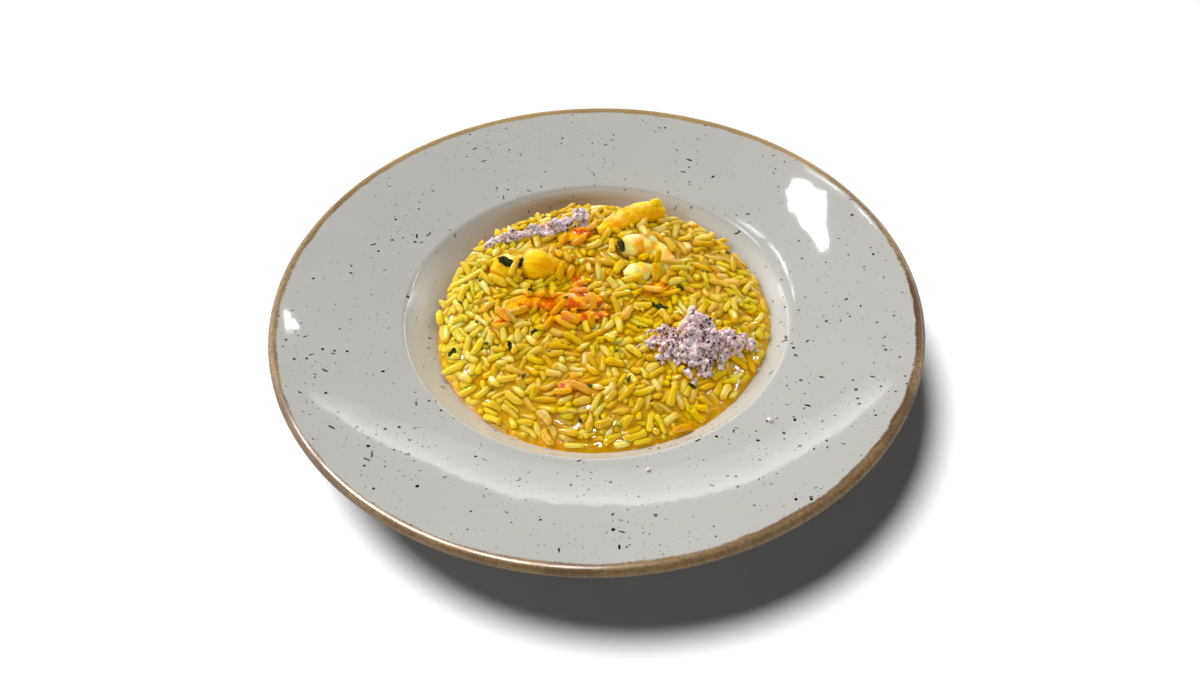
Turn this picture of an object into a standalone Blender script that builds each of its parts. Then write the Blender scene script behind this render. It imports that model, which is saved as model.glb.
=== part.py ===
"""Saffron risotto with prawns, tomato and crumbs in a wide-rimmed speckled bowl.

Metres, +Z up. The origin is under the bowl's centre, on the plane that its foot ring stands on,
and -Y is the side that faces the viewer. Sizes below are in millimetres, and MM turns them into metres.
"""
import math
import random

import bmesh
import bpy
from mathutils import Matrix, Vector, noise
from mathutils.bvhtree import BVHTree

MM = 0.001
SEED = 11
MERGE_DISTANCE = 0.001

# Bowl
BOWL_RADIUS = 140.0
BOWL_SEGMENTS = 48
LIP_RADIUS = 2.5
RIM_SLOPE = math.radians(8.0)
WELL_EDGE_RADIUS = 83.0
WELL_EDGE_HEIGHT = 39.7
WELL_EDGE_FILLET = 4.0
WELL_SLOPE = math.radians(44.0)
FLOOR_HEIGHT = 10.5
FLOOR_FILLET = 25.0
BODY_THICKNESS = 5.2
FOOT_RADIUS = 52.4
FOOT_WIDTH = 4.0
FOOT_HOLLOW = 5.0
FOOT_DRAFT = 0.8
FOOT_DRAFT_HEIGHT = 1.0
FOOT_FILLET = 0.4
SHELL_END = 0.4
BEND_OUTER = (3.0, 0.1)
BEND_INNER = (-1.5, -1.8)

# Heap of rice
GAP = 0.3
FLATS = 0.3
HEAP_CENTRE = (1.4, -0.2)
HEAP_RADIUS = 72.4
HEAP_BULGE = 1.2
HEAP_BULGE_ANGLE = math.radians(35.0)
PLATEAU_HEIGHT = 38.3
PLATEAU_RISE = 3.0 / 70.0
SHOULDER_FRONT = 0.42
SHOULDER_BACK = 0.18
SHOULDER_FRONT_POWER = 1.15
SHOULDER_BACK_POWER = 1.9
SHOULDER_TURN = 0.75
UNDULATION = 0.8
UNDULATION_SIZE = 17.0
CORE_SECTORS = 28
CORE_TOP_RINGS = (0.96, 0.88, 0.74, 0.5, 0.26)
CORE_BOTTOM_RINGS = (0.8, 0.55, 0.28)
NORMAL_STEP = 0.8
TRIM_LIFT = 0.15
TRIM_DEPTH = 6.0

# Grains
GRAIN_COUNT = 330
GRAIN_LENGTH = (8.4, 10.2)
GRAIN_RADIUS = (1.75, 2.1)
GRAIN_SIDES = 5
GRAIN_STAND = 0.8
GRAIN_REACH = 0.962
GRAIN_TILT = math.radians(13.0)
GRAIN_YAWS = 8
GRAIN_SHORTENING = (1.0, 0.8, 0.62)
GRAIN_JITTER = 0.8
GRAIN_STATIONS = (-1.0, -0.5, 0.0, 0.5, 1.0)
GRAIN_BLUNTNESS = 0.8
GRAIN_LEAST_ROOM = 0.9
GRAIN_NEIGHBOURHOOD = 12.0
RICE_KEPT_SHARE = 0.7
GOLDEN_ANGLE = math.pi * (3.0 - math.sqrt(5.0))

# Prawns and their ridges: each prawn is a list of (x, y, height over the heap, radius).
PRAWNS = {
    "prawn_back": [
        (1.5, 47.5, 1.2, 2.6), (7.5, 50.5, 2.6, 4.0), (14.5, 54.5, 3.6, 4.8),
        (22.0, 57.5, 4.4, 5.0), (28.5, 59.0, 4.8, 4.6), (32.5, 59.5, 4.6, 2.6),
    ],
    "prawn_curled": [
        (11.5, 35.0, 1.4, 3.4), (15.8, 36.0, 3.2, 6.0), (22.5, 36.6, 2.8, 5.6),
        (28.5, 33.5, 2.0, 4.7), (32.5, 27.0, 1.4, 4.0), (34.5, 18.5, 0.6, 2.6),
    ],
    "prawn_left": [
        (-46.5, 23.0, 0.4, 3.6), (-40.0, 23.5, 2.6, 6.3), (-33.0, 24.5, 2.6, 5.2),
        (-26.5, 23.5, 4.0, 7.4), (-19.5, 24.5, 2.4, 5.4), (-12.5, 26.5, 0.8, 2.6),
    ],
    "prawn_chunk": [
        (12.8, 20.0, 0.9, 2.6), (16.5, 20.5, 1.8, 4.2), (21.0, 21.2, 2.0, 4.6), (25.0, 22.8, 1.2, 2.8),
    ],
}
PRAWN_RINGS = 11
PRAWN_SIDES = 8
PRAWN_RIDGE = 0.07
PRAWN_NUB = [(26.0, 58.0, 8.0, 1.4), (28.5, 59.5, 9.6, 2.2), (31.0, 60.0, 8.6, 1.4)]

# Tomato: the same, but flattened.
TOMATO_FLATNESS = 0.55
TOMATO_SIDES = 6
TOMATO_PIECES = {
    "tomato_strip_upper": [
        (-44.5, -11.0, 1.6, 1.5), (-39.5, -4.0, 1.9, 1.9), (-33.5, 2.0, 2.2, 2.2), (-26.0, 2.8, 2.2, 2.5),
        (-19.0, 1.6, 2.0, 3.3), (-11.5, 2.4, 2.2, 3.9), (-4.0, 3.6, 2.1, 3.0), (3.0, 2.4, 1.8, 1.6),
    ],
    "tomato_strip_lower": [
        (-20.0, -6.4, 1.5, 1.5), (-13.5, -6.8, 1.9, 2.2), (-6.5, -6.6, 2.0, 2.4), (0.5, -5.4, 1.8, 1.7),
        (5.0, -4.2, 1.5, 1.2),
    ],
    "tomato_bit_back": [(-13.5, 43.0, 1.6, 1.8), (-8.5, 44.6, 2.2, 3.0), (-3.0, 47.2, 2.0, 2.0)],
    "tomato_bit_middle": [(-9.2, 20.6, 0.9, 1.2), (-8.2, 14.6, 1.6, 2.0), (-7.4, 9.2, 0.9, 1.2)],
    "tomato_bit_front": [(-16.0, -45.6, 1.2, 1.3), (-11.0, -44.8, 1.8, 2.2), (-6.0, -43.6, 1.3, 1.4)],
    "tomato_bit_right": [(24.0, 11.6, 0.9, 1.4), (28.0, 10.4, 1.5, 2.3), (31.8, 9.6, 0.9, 1.3)],
}

# Scraps of herb
LEAF_THICKNESS = 0.6
LEAF_WAVE = 0.9
LEAF_WAVE_TURNS = (4.0, 2.0)
LEAF_TAPER = 2.2
LEAF_COLUMNS = 3
LEAF_ROWS = 2

# Each scrap is (what carries it, x, y, height over the heap, yaw, pitch, length, width).
HERBS = [
    ("prawn_left", -40.5, 22.6, 8.0, 0.5, 0.10, 8.0, 5.2),
    ("prawn_left", -32.2, 24.2, 7.2, 1.9, 0.25, 6.4, 3.6),
    ("prawn_curled", 12.6, 35.2, 5.6, 1.3, 0.5, 6.0, 3.0),
    ("risotto", 28.5, 0.6, 1.6, -0.7, 0.3, 8.0, 3.2),
    ("risotto", -62.0, -21.0, 1.2, 1.2, 0.3, 7.0, 3.4),
    ("risotto", -27.0, -14.6, 1.6, 0.9, 0.3, 6.0, 3.6),
    ("risotto", 7.6, 13.2, 1.6, 0.4, 0.3, 6.4, 3.0),
    ("risotto", 38.6, 11.4, 1.6, 2.3, 0.3, 5.6, 3.2),
    ("risotto", -30.8, -38.0, 1.6, 2.0, 0.3, 5.2, 3.0),
    ("risotto", 59.0, 2.6, 1.4, 1.0, 0.3, 6.0, 3.0),
]

# Crumbs
MOUND_CENTRE = (43.5, -24.0)
MOUND_REACH = 17.5
MOUND_HEIGHT = 8.5
MOUND_LUMPS = 22
MOUND_SECTORS = 16
MOUND_ARMS = (3.0, 5.0, 1.5)
MOUND_BASE_RINGS = ((0.9, -1.5), (0.8, 1.3), (0.45, 3.4))
MOUND_BASE_TOP = 5.1
MOUND_PILE = 0.75
STRIP_SPINE = [
    (-49.5, 42.0, 2.0), (-43.0, 47.0, 3.0), (-35.0, 50.4, 3.2), (-26.0, 51.6, 3.6),
    (-17.0, 53.4, 3.8), (-10.0, 56.5, 3.0),
]
STRIP_SECTIONS = 8
STRIP_SECTION = ((-0.7, -1.5), (-0.6, 1.3), (0.0, 2.2), (0.6, 1.3), (0.7, -1.5))
STRIP_PILE = 1.8
STRIP_LUMPS = 10
LUMP_RADIUS = (2.7, 4.2)
LUMP_CRAGS = (0.75, 1.2)
CRUMB_LIFT = 1.3
CRUMB_KEPT_SHARE = 0.72

# Colours, as linear values
GLAZE = (0.56, 0.55, 0.52)
SAFFRON = (0.72, 0.42, 0.02)
PRAWN = (0.83, 0.50, 0.05)
TOMATO = (0.62, 0.12, 0.015)
CRUMB = (0.50, 0.38, 0.44)


# ---- small tools ----

def clear_scene():
    for thing in list(bpy.data.objects):
        bpy.data.objects.remove(thing, do_unlink=True)


def plain_material(name, colour, roughness):
    finish = bpy.data.materials.new(name)
    finish.use_nodes = True
    shader = finish.node_tree.nodes["Principled BSDF"]
    shader.inputs["Base Color"].default_value = (*colour, 1.0)
    shader.inputs["Roughness"].default_value = roughness
    shader.inputs["Metallic"].default_value = 0.0
    return finish


def link_object(name, mesh):
    thing = bpy.data.objects.new(name, mesh)
    bpy.context.collection.objects.link(thing)
    return thing


def object_from(name, form):
    """A new object from a bmesh drawn in millimetres, scaled to metres, with its faces pointing out."""
    bmesh.ops.recalc_face_normals(form, faces=form.faces)
    bmesh.ops.scale(form, vec=(MM, MM, MM), verts=form.verts)
    mesh = bpy.data.meshes.new(name)
    form.to_mesh(mesh)
    form.free()
    return link_object(name, mesh)


def finish_object(thing, finish):
    thing.data.materials.clear()
    thing.data.materials.append(finish)
    thing.data.shade_smooth()
    thing.data.set_sharp_from_angle(angle=math.radians(50.0))


def keep_largest_piece(form):
    """Drop the loose scraps that a cut or a union can leave."""
    unseen = set(form.verts)
    pieces = []
    while unseen:
        piece = set()
        edge_of_search = [unseen.pop()]
        while edge_of_search:
            corner = edge_of_search.pop()
            piece.add(corner)
            for edge in corner.link_edges:
                other = edge.other_vert(corner)
                if other in unseen:
                    unseen.discard(other)
                    edge_of_search.append(other)
        pieces.append(piece)
    pieces.sort(key=len)
    for piece in pieces[:-1]:
        bmesh.ops.delete(form, geom=list(piece), context="VERTS")


def apply_modifiers(thing):
    graph = bpy.context.evaluated_depsgraph_get()
    result = bpy.data.meshes.new_from_object(thing.evaluated_get(graph))
    thing.modifiers.clear()
    thing.data = result


def boolean(thing, operation, other=None, collection=None):
    """Apply one Boolean to thing, and keep the one solid piece that results."""
    cut = thing.modifiers.new(operation, "BOOLEAN")
    cut.operation = operation
    if collection is None:
        cut.object = other
    else:
        cut.operand_type = "COLLECTION"
        cut.collection = collection
    apply_modifiers(thing)
    form = bmesh.new()
    form.from_mesh(thing.data)
    bmesh.ops.dissolve_degenerate(form, dist=MERGE_DISTANCE * MM, edges=form.edges)
    bmesh.ops.triangulate(form, faces=form.faces)
    keep_largest_piece(form)
    form.to_mesh(thing.data)
    form.free()


def fuse(thing, pieces):
    """Join the pieces to thing by one union on a collection."""
    group = bpy.data.collections.new(thing.name + "_pieces")
    for piece in pieces:
        bpy.context.collection.objects.unlink(piece)
        group.objects.link(piece)
    bpy.context.scene.collection.children.link(group)
    boolean(thing, "UNION", collection=group)
    for piece in list(group.objects):
        bpy.data.objects.remove(piece, do_unlink=True)
    bpy.data.collections.remove(group)


def thin_out(thing, share):
    """Keep a share of the triangles by closing up the slivers that a union leaves."""
    fewer = thing.modifiers.new("fewer", "DECIMATE")
    fewer.ratio = share
    fewer.use_collapse_triangulate = True
    apply_modifiers(thing)


def search_tree(thing):
    """A nearest-point tree of a mesh, in millimetres."""
    corners = [corner.co / MM for corner in thing.data.vertices]
    return BVHTree.FromPolygons(corners, [tuple(face.vertices) for face in thing.data.polygons])


def blend(low, high, share):
    return low + (high - low) * share


# ---- bowl ----

def floor_fillet_centre():
    """The middle of the arc that joins the well's flat floor to its straight wall, as (radius, height)."""
    height = FLOOR_HEIGHT + FLOOR_FILLET
    wall_below = height - FLOOR_FILLET / math.cos(WELL_SLOPE)
    return WELL_EDGE_RADIUS + (wall_below - WELL_EDGE_HEIGHT) / math.tan(WELL_SLOPE), height


def well_slope(radius):
    """Steepness of the well's inside, as an angle."""
    run = max(radius - floor_fillet_centre()[0], 0.0)
    return min(math.asin(min(run / FLOOR_FILLET, 1.0)), WELL_SLOPE)


def well_height(radius):
    """Height of the well's inside at a distance from the axis."""
    wall = WELL_EDGE_HEIGHT + (radius - WELL_EDGE_RADIUS) * math.tan(WELL_SLOPE)
    return max(wall, FLOOR_HEIGHT + FLOOR_FILLET * (1.0 - math.cos(well_slope(radius))))


def arc_points(centre, radius, start, end, count):
    """Points on an arc of a profile, from one angle to another, both ends included."""
    steps = [blend(start, end, k / (count - 1)) for k in range(count)]
    return [(centre[0] + radius * math.cos(a), centre[1] + radius * math.sin(a)) for a in steps]


def bowl_profile():
    """The turned outline: floor, well wall, well edge, rim, lip, underside and foot ring."""
    down = -math.pi / 2.0
    up = math.pi / 2.0
    floor = arc_points(floor_fillet_centre(), FLOOR_FILLET, down, down + WELL_SLOPE, 5)
    edge_centre = (
        WELL_EDGE_RADIUS + WELL_EDGE_FILLET * math.sin(WELL_SLOPE),
        WELL_EDGE_HEIGHT - WELL_EDGE_FILLET * math.cos(WELL_SLOPE),
    )
    edge = arc_points(edge_centre, WELL_EDGE_FILLET, up + WELL_SLOPE, up + RIM_SLOPE, 4)

    rim_end_radius = BOWL_RADIUS - LIP_RADIUS - LIP_RADIUS * math.sin(RIM_SLOPE)
    rim_end_height = edge[-1][1] + (rim_end_radius - edge[-1][0]) * math.tan(RIM_SLOPE)
    lip_centre = (BOWL_RADIUS - LIP_RADIUS, rim_end_height - LIP_RADIUS * math.cos(RIM_SLOPE))
    lip = arc_points(lip_centre, LIP_RADIUS, up + RIM_SLOPE, down + RIM_SLOPE, 6)

    bend_radius = WELL_EDGE_RADIUS + WELL_EDGE_FILLET
    bend_height = lip[-1][1] - (lip[-1][0] - bend_radius) * math.tan(RIM_SLOPE)
    bend = [(bend_radius + out, bend_height + rise) for out, rise in (BEND_OUTER, BEND_INNER)]
    shell_radius = FLOOR_FILLET + BODY_THICKNESS
    shell = arc_points(floor_fillet_centre(), shell_radius, down + WELL_SLOPE, down + SHELL_END, 3)
    foot_inner_radius = FOOT_RADIUS - FOOT_WIDTH
    foot = [
        (FOOT_RADIUS + FOOT_DRAFT, FOOT_DRAFT_HEIGHT),
        (FOOT_RADIUS, 0.0),
        (foot_inner_radius, 0.0),
        (foot_inner_radius - FOOT_DRAFT, FOOT_HOLLOW - FOOT_FILLET),
    ]
    return [(0.0, FLOOR_HEIGHT), *floor, *edge, *lip, *bend, *shell, *foot, (0.0, FOOT_HOLLOW)]


def turned_solid(name, profile, segments):
    """Spin a profile once round the Z axis."""
    form = bmesh.new()
    corners = [form.verts.new((radius, 0.0, height)) for radius, height in profile]
    edges = [form.edges.new(pair) for pair in zip(corners, corners[1:])]
    bmesh.ops.spin(
        form, geom=[*corners, *edges], cent=(0.0, 0.0, 0.0), axis=(0.0, 0.0, 1.0),
        angle=2.0 * math.pi, steps=segments, use_merge=True,
    )
    bmesh.ops.remove_doubles(form, verts=form.verts, dist=MERGE_DISTANCE)
    return object_from(name, form)


# ---- heap of rice ----

def heap_outline(angle):
    """How far the heap reaches from its centre in one direction."""
    ripple = 0.5 * math.sin(3.0 * angle + 1.0) + 0.4 * math.sin(7.0 * angle + 2.2)
    return HEAP_RADIUS + HEAP_BULGE * math.cos(angle - HEAP_BULGE_ANGLE) + ripple


def wall_gap_above(radius):
    """The gap to the bowl's wall, measured straight up. FLATS is what the bowl's flats take of it."""
    return (GAP + FLATS) / math.cos(well_slope(radius))


def core_bottom(x, y):
    radius = math.hypot(x, y)
    return well_height(radius) + wall_gap_above(radius)


def core_top(x, y):
    """Height of the bare heap: sauced and flat in front, standing steep against the wall behind."""
    dx = x - HEAP_CENTRE[0]
    dy = y - HEAP_CENTRE[1]
    angle = math.atan2(dy, dx)
    outline = heap_outline(angle)
    reach = min(math.hypot(dx, dy) / outline, 1.0)
    edge_x = HEAP_CENTRE[0] + outline * math.cos(angle)
    edge_y = HEAP_CENTRE[1] + outline * math.sin(angle)
    edge_height = core_bottom(edge_x, edge_y)
    back = min(max(0.5 + SHOULDER_TURN * math.sin(angle), 0.0), 1.0)
    inward = min((1.0 - reach) / blend(SHOULDER_FRONT, SHOULDER_BACK, back), 1.0)
    power = blend(SHOULDER_FRONT_POWER, SHOULDER_BACK_POWER, back)
    rise = (1.0 - (1.0 - inward) ** 2) ** (1.0 / power)
    plateau = PLATEAU_HEIGHT + PLATEAU_RISE * y
    wave = UNDULATION * noise.noise(Vector((x / UNDULATION_SIZE, y / UNDULATION_SIZE, 3.0)))
    return edge_height + (plateau + wave * inward - edge_height) * rise


def core_normal(x, y):
    step = NORMAL_STEP
    slope_x = (core_top(x + step, y) - core_top(x - step, y)) / (2.0 * step)
    slope_y = (core_top(x, y + step) - core_top(x, y - step)) / (2.0 * step)
    return Vector((-slope_x, -slope_y, 1.0)).normalized()


def heap_ring(form, share, height):
    ring = []
    for k in range(CORE_SECTORS):
        angle = 2.0 * math.pi * k / CORE_SECTORS
        reach = share * heap_outline(angle)
        x = HEAP_CENTRE[0] + reach * math.cos(angle)
        y = HEAP_CENTRE[1] + reach * math.sin(angle)
        ring.append(form.verts.new((x, y, height(x, y))))
    return ring


def join_rings(form, first, second):
    for k in range(len(first)):
        after = (k + 1) % len(first)
        form.faces.new((first[k], first[after], second[after], second[k]))


def fan(form, ring, centre):
    for k in range(len(ring)):
        form.faces.new((ring[k], ring[(k + 1) % len(ring)], centre))


def heap_solid(name, lift=0.0, sink=0.0):
    """The bare heap between its top and the bowl's wall, raised or deepened to serve as a cutter."""
    form = bmesh.new()
    edge = heap_ring(form, 1.0, lambda x, y: core_bottom(x, y) + 0.5 * (lift - sink))
    top = edge
    for share in CORE_TOP_RINGS:
        ring = heap_ring(form, share, lambda x, y: core_top(x, y) + lift)
        join_rings(form, top, ring)
        top = ring
    crown = form.verts.new((*HEAP_CENTRE, core_top(*HEAP_CENTRE) + lift))
    fan(form, top, crown)
    bottom = edge
    for share in CORE_BOTTOM_RINGS:
        ring = heap_ring(form, share, lambda x, y: core_bottom(x, y) - sink)
        join_rings(form, bottom, ring)
        bottom = ring
    keel = form.verts.new((*HEAP_CENTRE, core_bottom(*HEAP_CENTRE) - sink))
    fan(form, bottom, keel)
    bmesh.ops.triangulate(form, faces=form.faces)
    return object_from(name, form)


# ---- swept pieces: prawns, tomato, grains ----

def curve_point(points, share):
    """A point on the smooth curve through points; each point is a tuple of numbers."""
    place = share * (len(points) - 1)
    k = min(int(place), len(points) - 2)
    t = place - k
    before = points[max(k - 1, 0)]
    start = points[k]
    end = points[k + 1]
    after = points[min(k + 2, len(points) - 1)]
    weights = (
        -0.5 * t + t * t - 0.5 * t ** 3,
        1.0 - 2.5 * t * t + 1.5 * t ** 3,
        0.5 * t + 2.0 * t * t - 1.5 * t ** 3,
        -0.5 * t * t + 0.5 * t ** 3,
    )
    rows = zip(before, start, end, after)
    return [sum(weight * value for weight, value in zip(weights, row)) for row in rows]


def swept_solid(name, points, rings, sides, ridge=0.0, height=1.0):
    """A round-ended body along a curve. Points are (x, y, height over the heap, radius).

    Every other ring is drawn in by the share ridge, which gives a prawn's segments. The section's
    height is its width times height.
    """
    path = []
    for k in range(rings + 2):
        x, y, over, radius = curve_point(points, k / (rings + 1))
        path.append((Vector((x, y, core_top(x, y) + over)), radius))
    form = bmesh.new()
    previous = None
    first = form.verts.new(path[0][0])
    for k in range(1, rings + 1):
        centre, radius = path[k]
        along = (path[k + 1][0] - path[k - 1][0]).normalized()
        across = along.cross(Vector((0.0, 0.0, 1.0))).normalized()
        upward = across.cross(along)
        radius *= 1.0 - ridge * (k % 2)
        ring = []
        for side in range(sides):
            angle = 2.0 * math.pi * (side + 0.5 * (k % 2)) / sides
            offset = across * math.cos(angle) + upward * (height * math.sin(angle))
            ring.append(form.verts.new(centre + offset * radius))
        if previous is None:
            fan(form, ring, first)
        else:
            join_rings(form, previous, ring)
        previous = ring
    fan(form, previous, form.verts.new(path[-1][0]))
    bmesh.ops.triangulate(form, faces=form.faces)
    return object_from(name, form)


def leaf_solid(name, place, yaw, pitch, length, width):
    """A thin wavy scrap of leaf, both faces split into triangles alike."""
    columns = LEAF_COLUMNS
    rows = LEAF_ROWS
    along_turns, across_turns = LEAF_WAVE_TURNS
    turn = Matrix.Translation(place) @ Matrix.Rotation(yaw, 4, "Z") @ Matrix.Rotation(pitch, 4, "Y")
    form = bmesh.new()
    grids = []
    for side in (0.0, 1.0):
        grid = []
        for i in range(columns + 1):
            along = i / columns - 0.5
            taper = 1.0 - LEAF_TAPER * along * along
            for j in range(rows + 1):
                across = j / rows - 0.5
                wave = LEAF_WAVE * math.sin(along_turns * along + across_turns * across)
                lift = wave + LEAF_THICKNESS * side
                corner = Vector((length * along, width * taper * across, lift))
                grid.append(form.verts.new(turn @ corner))
        grids.append(grid)
    step = rows + 1
    for grid in grids:
        for i in range(columns):
            for j in range(rows):
                a = i * step + j
                form.faces.new((grid[a], grid[a + 1], grid[a + step]))
                form.faces.new((grid[a + 1], grid[a + step + 1], grid[a + step]))
    lower, upper = grids
    border = list(range(rows + 1))
    border += [i * step + rows for i in range(1, columns + 1)]
    border += [columns * step + j for j in range(rows - 1, -1, -1)]
    border += [i * step for i in range(columns - 1, 0, -1)]
    for k, a in enumerate(border):
        b = border[(k + 1) % len(border)]
        form.faces.new((lower[a], lower[b], upper[b], upper[a]))
    bmesh.ops.triangulate(form, faces=form.faces)
    return object_from(name, form)


def trim_to_heap(thing):
    """Cut the underside of a topping to the heap it lies on, with the gap between them."""
    cutter = heap_solid("heap_cutter", lift=GAP + TRIM_LIFT, sink=TRIM_DEPTH)
    boolean(thing, "DIFFERENCE", other=cutter)
    bpy.data.objects.remove(cutter, do_unlink=True)


def herb_scraps(carrier):
    scraps = []
    for k, (name, x, y, over, yaw, pitch, length, width) in enumerate(HERBS):
        if name == carrier:
            place = Vector((x, y, core_top(x, y) + over))
            scraps.append(leaf_solid(f"herb_{k}", place, yaw, pitch, length, width))
    return scraps


# ---- crumbs ----

def mound_outline(angle):
    """The mound straggles out in four arms."""
    longways, arms, unevenness = MOUND_ARMS
    reach = MOUND_REACH + longways * math.cos(2.0 * angle) + arms * math.cos(4.0 * angle)
    return reach + unevenness * math.sin(5.0 * angle)


def mound_place(angle, share, over):
    """A point over the rice, at a share of the way from the mound's middle to its outline."""
    reach = share * mound_outline(angle)
    x = MOUND_CENTRE[0] + reach * math.cos(angle)
    y = MOUND_CENTRE[1] + reach * math.sin(angle)
    return Vector((x, y, core_top(x, y) + over))


def mound_base(name):
    """The low body under the mound's lumps."""
    angles = [2.0 * math.pi * k / MOUND_SECTORS for k in range(MOUND_SECTORS)]
    form = bmesh.new()
    previous = None
    for share, over in MOUND_BASE_RINGS:
        ring = [form.verts.new(mound_place(angle, share, over)) for angle in angles]
        if previous is None:
            form.faces.new(ring)
        else:
            join_rings(form, previous, ring)
        previous = ring
    fan(form, previous, form.verts.new(mound_place(0.0, 0.0, MOUND_BASE_TOP)))
    bmesh.ops.triangulate(form, faces=form.faces)
    return object_from(name, form)


def strip_base(name):
    """The low ridge under the strip's lumps."""
    form = bmesh.new()
    previous = None
    for k in range(STRIP_SECTIONS):
        share = k / (STRIP_SECTIONS - 1)
        x, y, half_width = curve_point(STRIP_SPINE, share)
        ahead = curve_point(STRIP_SPINE, min(share + 0.02, 1.0))
        behind = curve_point(STRIP_SPINE, max(share - 0.02, 0.0))
        across = Vector((behind[1] - ahead[1], ahead[0] - behind[0], 0.0)).normalized()
        ring = []
        for side, over in STRIP_SECTION:
            place = Vector((x, y, 0.0)) + across * (side * half_width)
            place.z = core_top(place.x, place.y) + over
            ring.append(form.verts.new(place))
        if previous is None:
            form.faces.new(ring)
        else:
            join_rings(form, previous, ring)
        previous = ring
    form.faces.new(previous)
    bmesh.ops.triangulate(form, faces=form.faces)
    return object_from(name, form)


def crumb_lump(name, place, radius, draw):
    """One angular crumb of twenty faces."""
    form = bmesh.new()
    bmesh.ops.create_icosphere(form, subdivisions=1, radius=radius)
    yaw = draw.uniform(0.0, 2.0 * math.pi)
    roll = draw.uniform(0.0, math.pi)
    turn = Matrix.Rotation(yaw, 4, "Z") @ Matrix.Rotation(roll, 4, "X")
    for corner in form.verts:
        corner.co = place + turn @ (corner.co * draw.uniform(*LUMP_CRAGS))
    return object_from(name, form)


def mound_lumps(draw):
    """Crumbs on a sunflower spiral, piled highest in the middle."""
    lumps = []
    for k in range(MOUND_LUMPS):
        share = math.sqrt((k + 0.5) / MOUND_LUMPS)
        pile = MOUND_PILE * MOUND_HEIGHT * (1.0 - share ** 1.5) + CRUMB_LIFT
        place = mound_place(GOLDEN_ANGLE * k, share, pile)
        radius = draw.uniform(*LUMP_RADIUS) * (1.1 - 0.35 * share)
        lumps.append(crumb_lump(f"lump_{k}", place, radius, draw))
    return lumps


def strip_lumps(draw):
    lumps = []
    for k in range(STRIP_LUMPS):
        x, y, half_width = curve_point(STRIP_SPINE, (k + 0.5) / STRIP_LUMPS)
        side = 0.9 * math.sin(GOLDEN_ANGLE * k * 1.7)
        y += side * half_width
        radius = draw.uniform(*LUMP_RADIUS) * (0.85 - 0.15 * abs(side))
        pile = STRIP_PILE * (1.0 - side * side) + CRUMB_LIFT
        lumps.append(crumb_lump(f"lump_{k}", Vector((x, y, core_top(x, y) + pile)), radius, draw))
    return lumps


def crumb_heap(base, lumps):
    fuse(base, lumps)
    trim_to_heap(base)
    thin_out(base, CRUMB_KEPT_SHARE)
    return base


# ---- grains ----

class Grain:
    """A grain's place: its middle, its long direction, its length and its radius."""

    def __init__(self, middle, along, length, radius):
        self.middle = middle
        self.along = along
        self.length = length
        self.radius = radius

    def stations(self):
        reach = self.length / 2.0 - self.radius * GRAIN_BLUNTNESS
        for share in GRAIN_STATIONS:
            yield self.middle + self.along * (reach * share)

    def clear_of_bowl(self):
        """Whether it keeps its gap to the well's wall."""
        for point in self.stations():
            radius = math.hypot(point.x, point.y)
            room = (point.z - well_height(radius)) * math.cos(well_slope(radius))
            if room < self.radius + GAP + FLATS:
                return False
        return True

    def clear_of(self, trees):
        """Whether it keeps its gap to the toppings, and isn't inside one."""
        upward = Vector((0.0, 0.0, 1.0))
        for point in self.stations():
            for tree in trees:
                if tree.find_nearest(point)[3] < self.radius + GAP:
                    return False
                roof_normal = tree.ray_cast(point, upward)[1]
                if roof_normal is not None and roof_normal.z > 0.0:
                    return False
        return True

    def room_to(self, others):
        """How far it lies from the nearest of the grains already placed."""
        room = GRAIN_NEIGHBOURHOOD
        for other in others:
            if (other.middle - self.middle).length < GRAIN_NEIGHBOURHOOD:
                for point in self.stations():
                    for seen in other.stations():
                        room = min(room, (point - seen).length)
        return room


def grain_solid(name, grain, draw):
    """A plump grain of few sides, blunt at its ends."""
    form = bmesh.new()
    side = grain.along.cross(Vector((0.0, 0.0, 1.0))).normalized()
    top = side.cross(grain.along)
    spin = draw.uniform(0.0, 2.0 * math.pi)
    half = grain.length / 2.0
    previous = None
    first = form.verts.new(grain.middle - grain.along * half)
    for share in (-0.5, 0.5):
        centre = grain.middle + grain.along * (half * share)
        ring = []
        for k in range(GRAIN_SIDES):
            angle = spin + 2.0 * math.pi * k / GRAIN_SIDES
            offset = side * math.cos(angle) + top * math.sin(angle)
            ring.append(form.verts.new(centre + offset * grain.radius))
        if previous is None:
            fan(form, ring, first)
        else:
            join_rings(form, previous, ring)
        previous = ring
    fan(form, previous, form.verts.new(grain.middle + grain.along * half))
    bmesh.ops.triangulate(form, faces=form.faces)
    return object_from(name, form)


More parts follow.
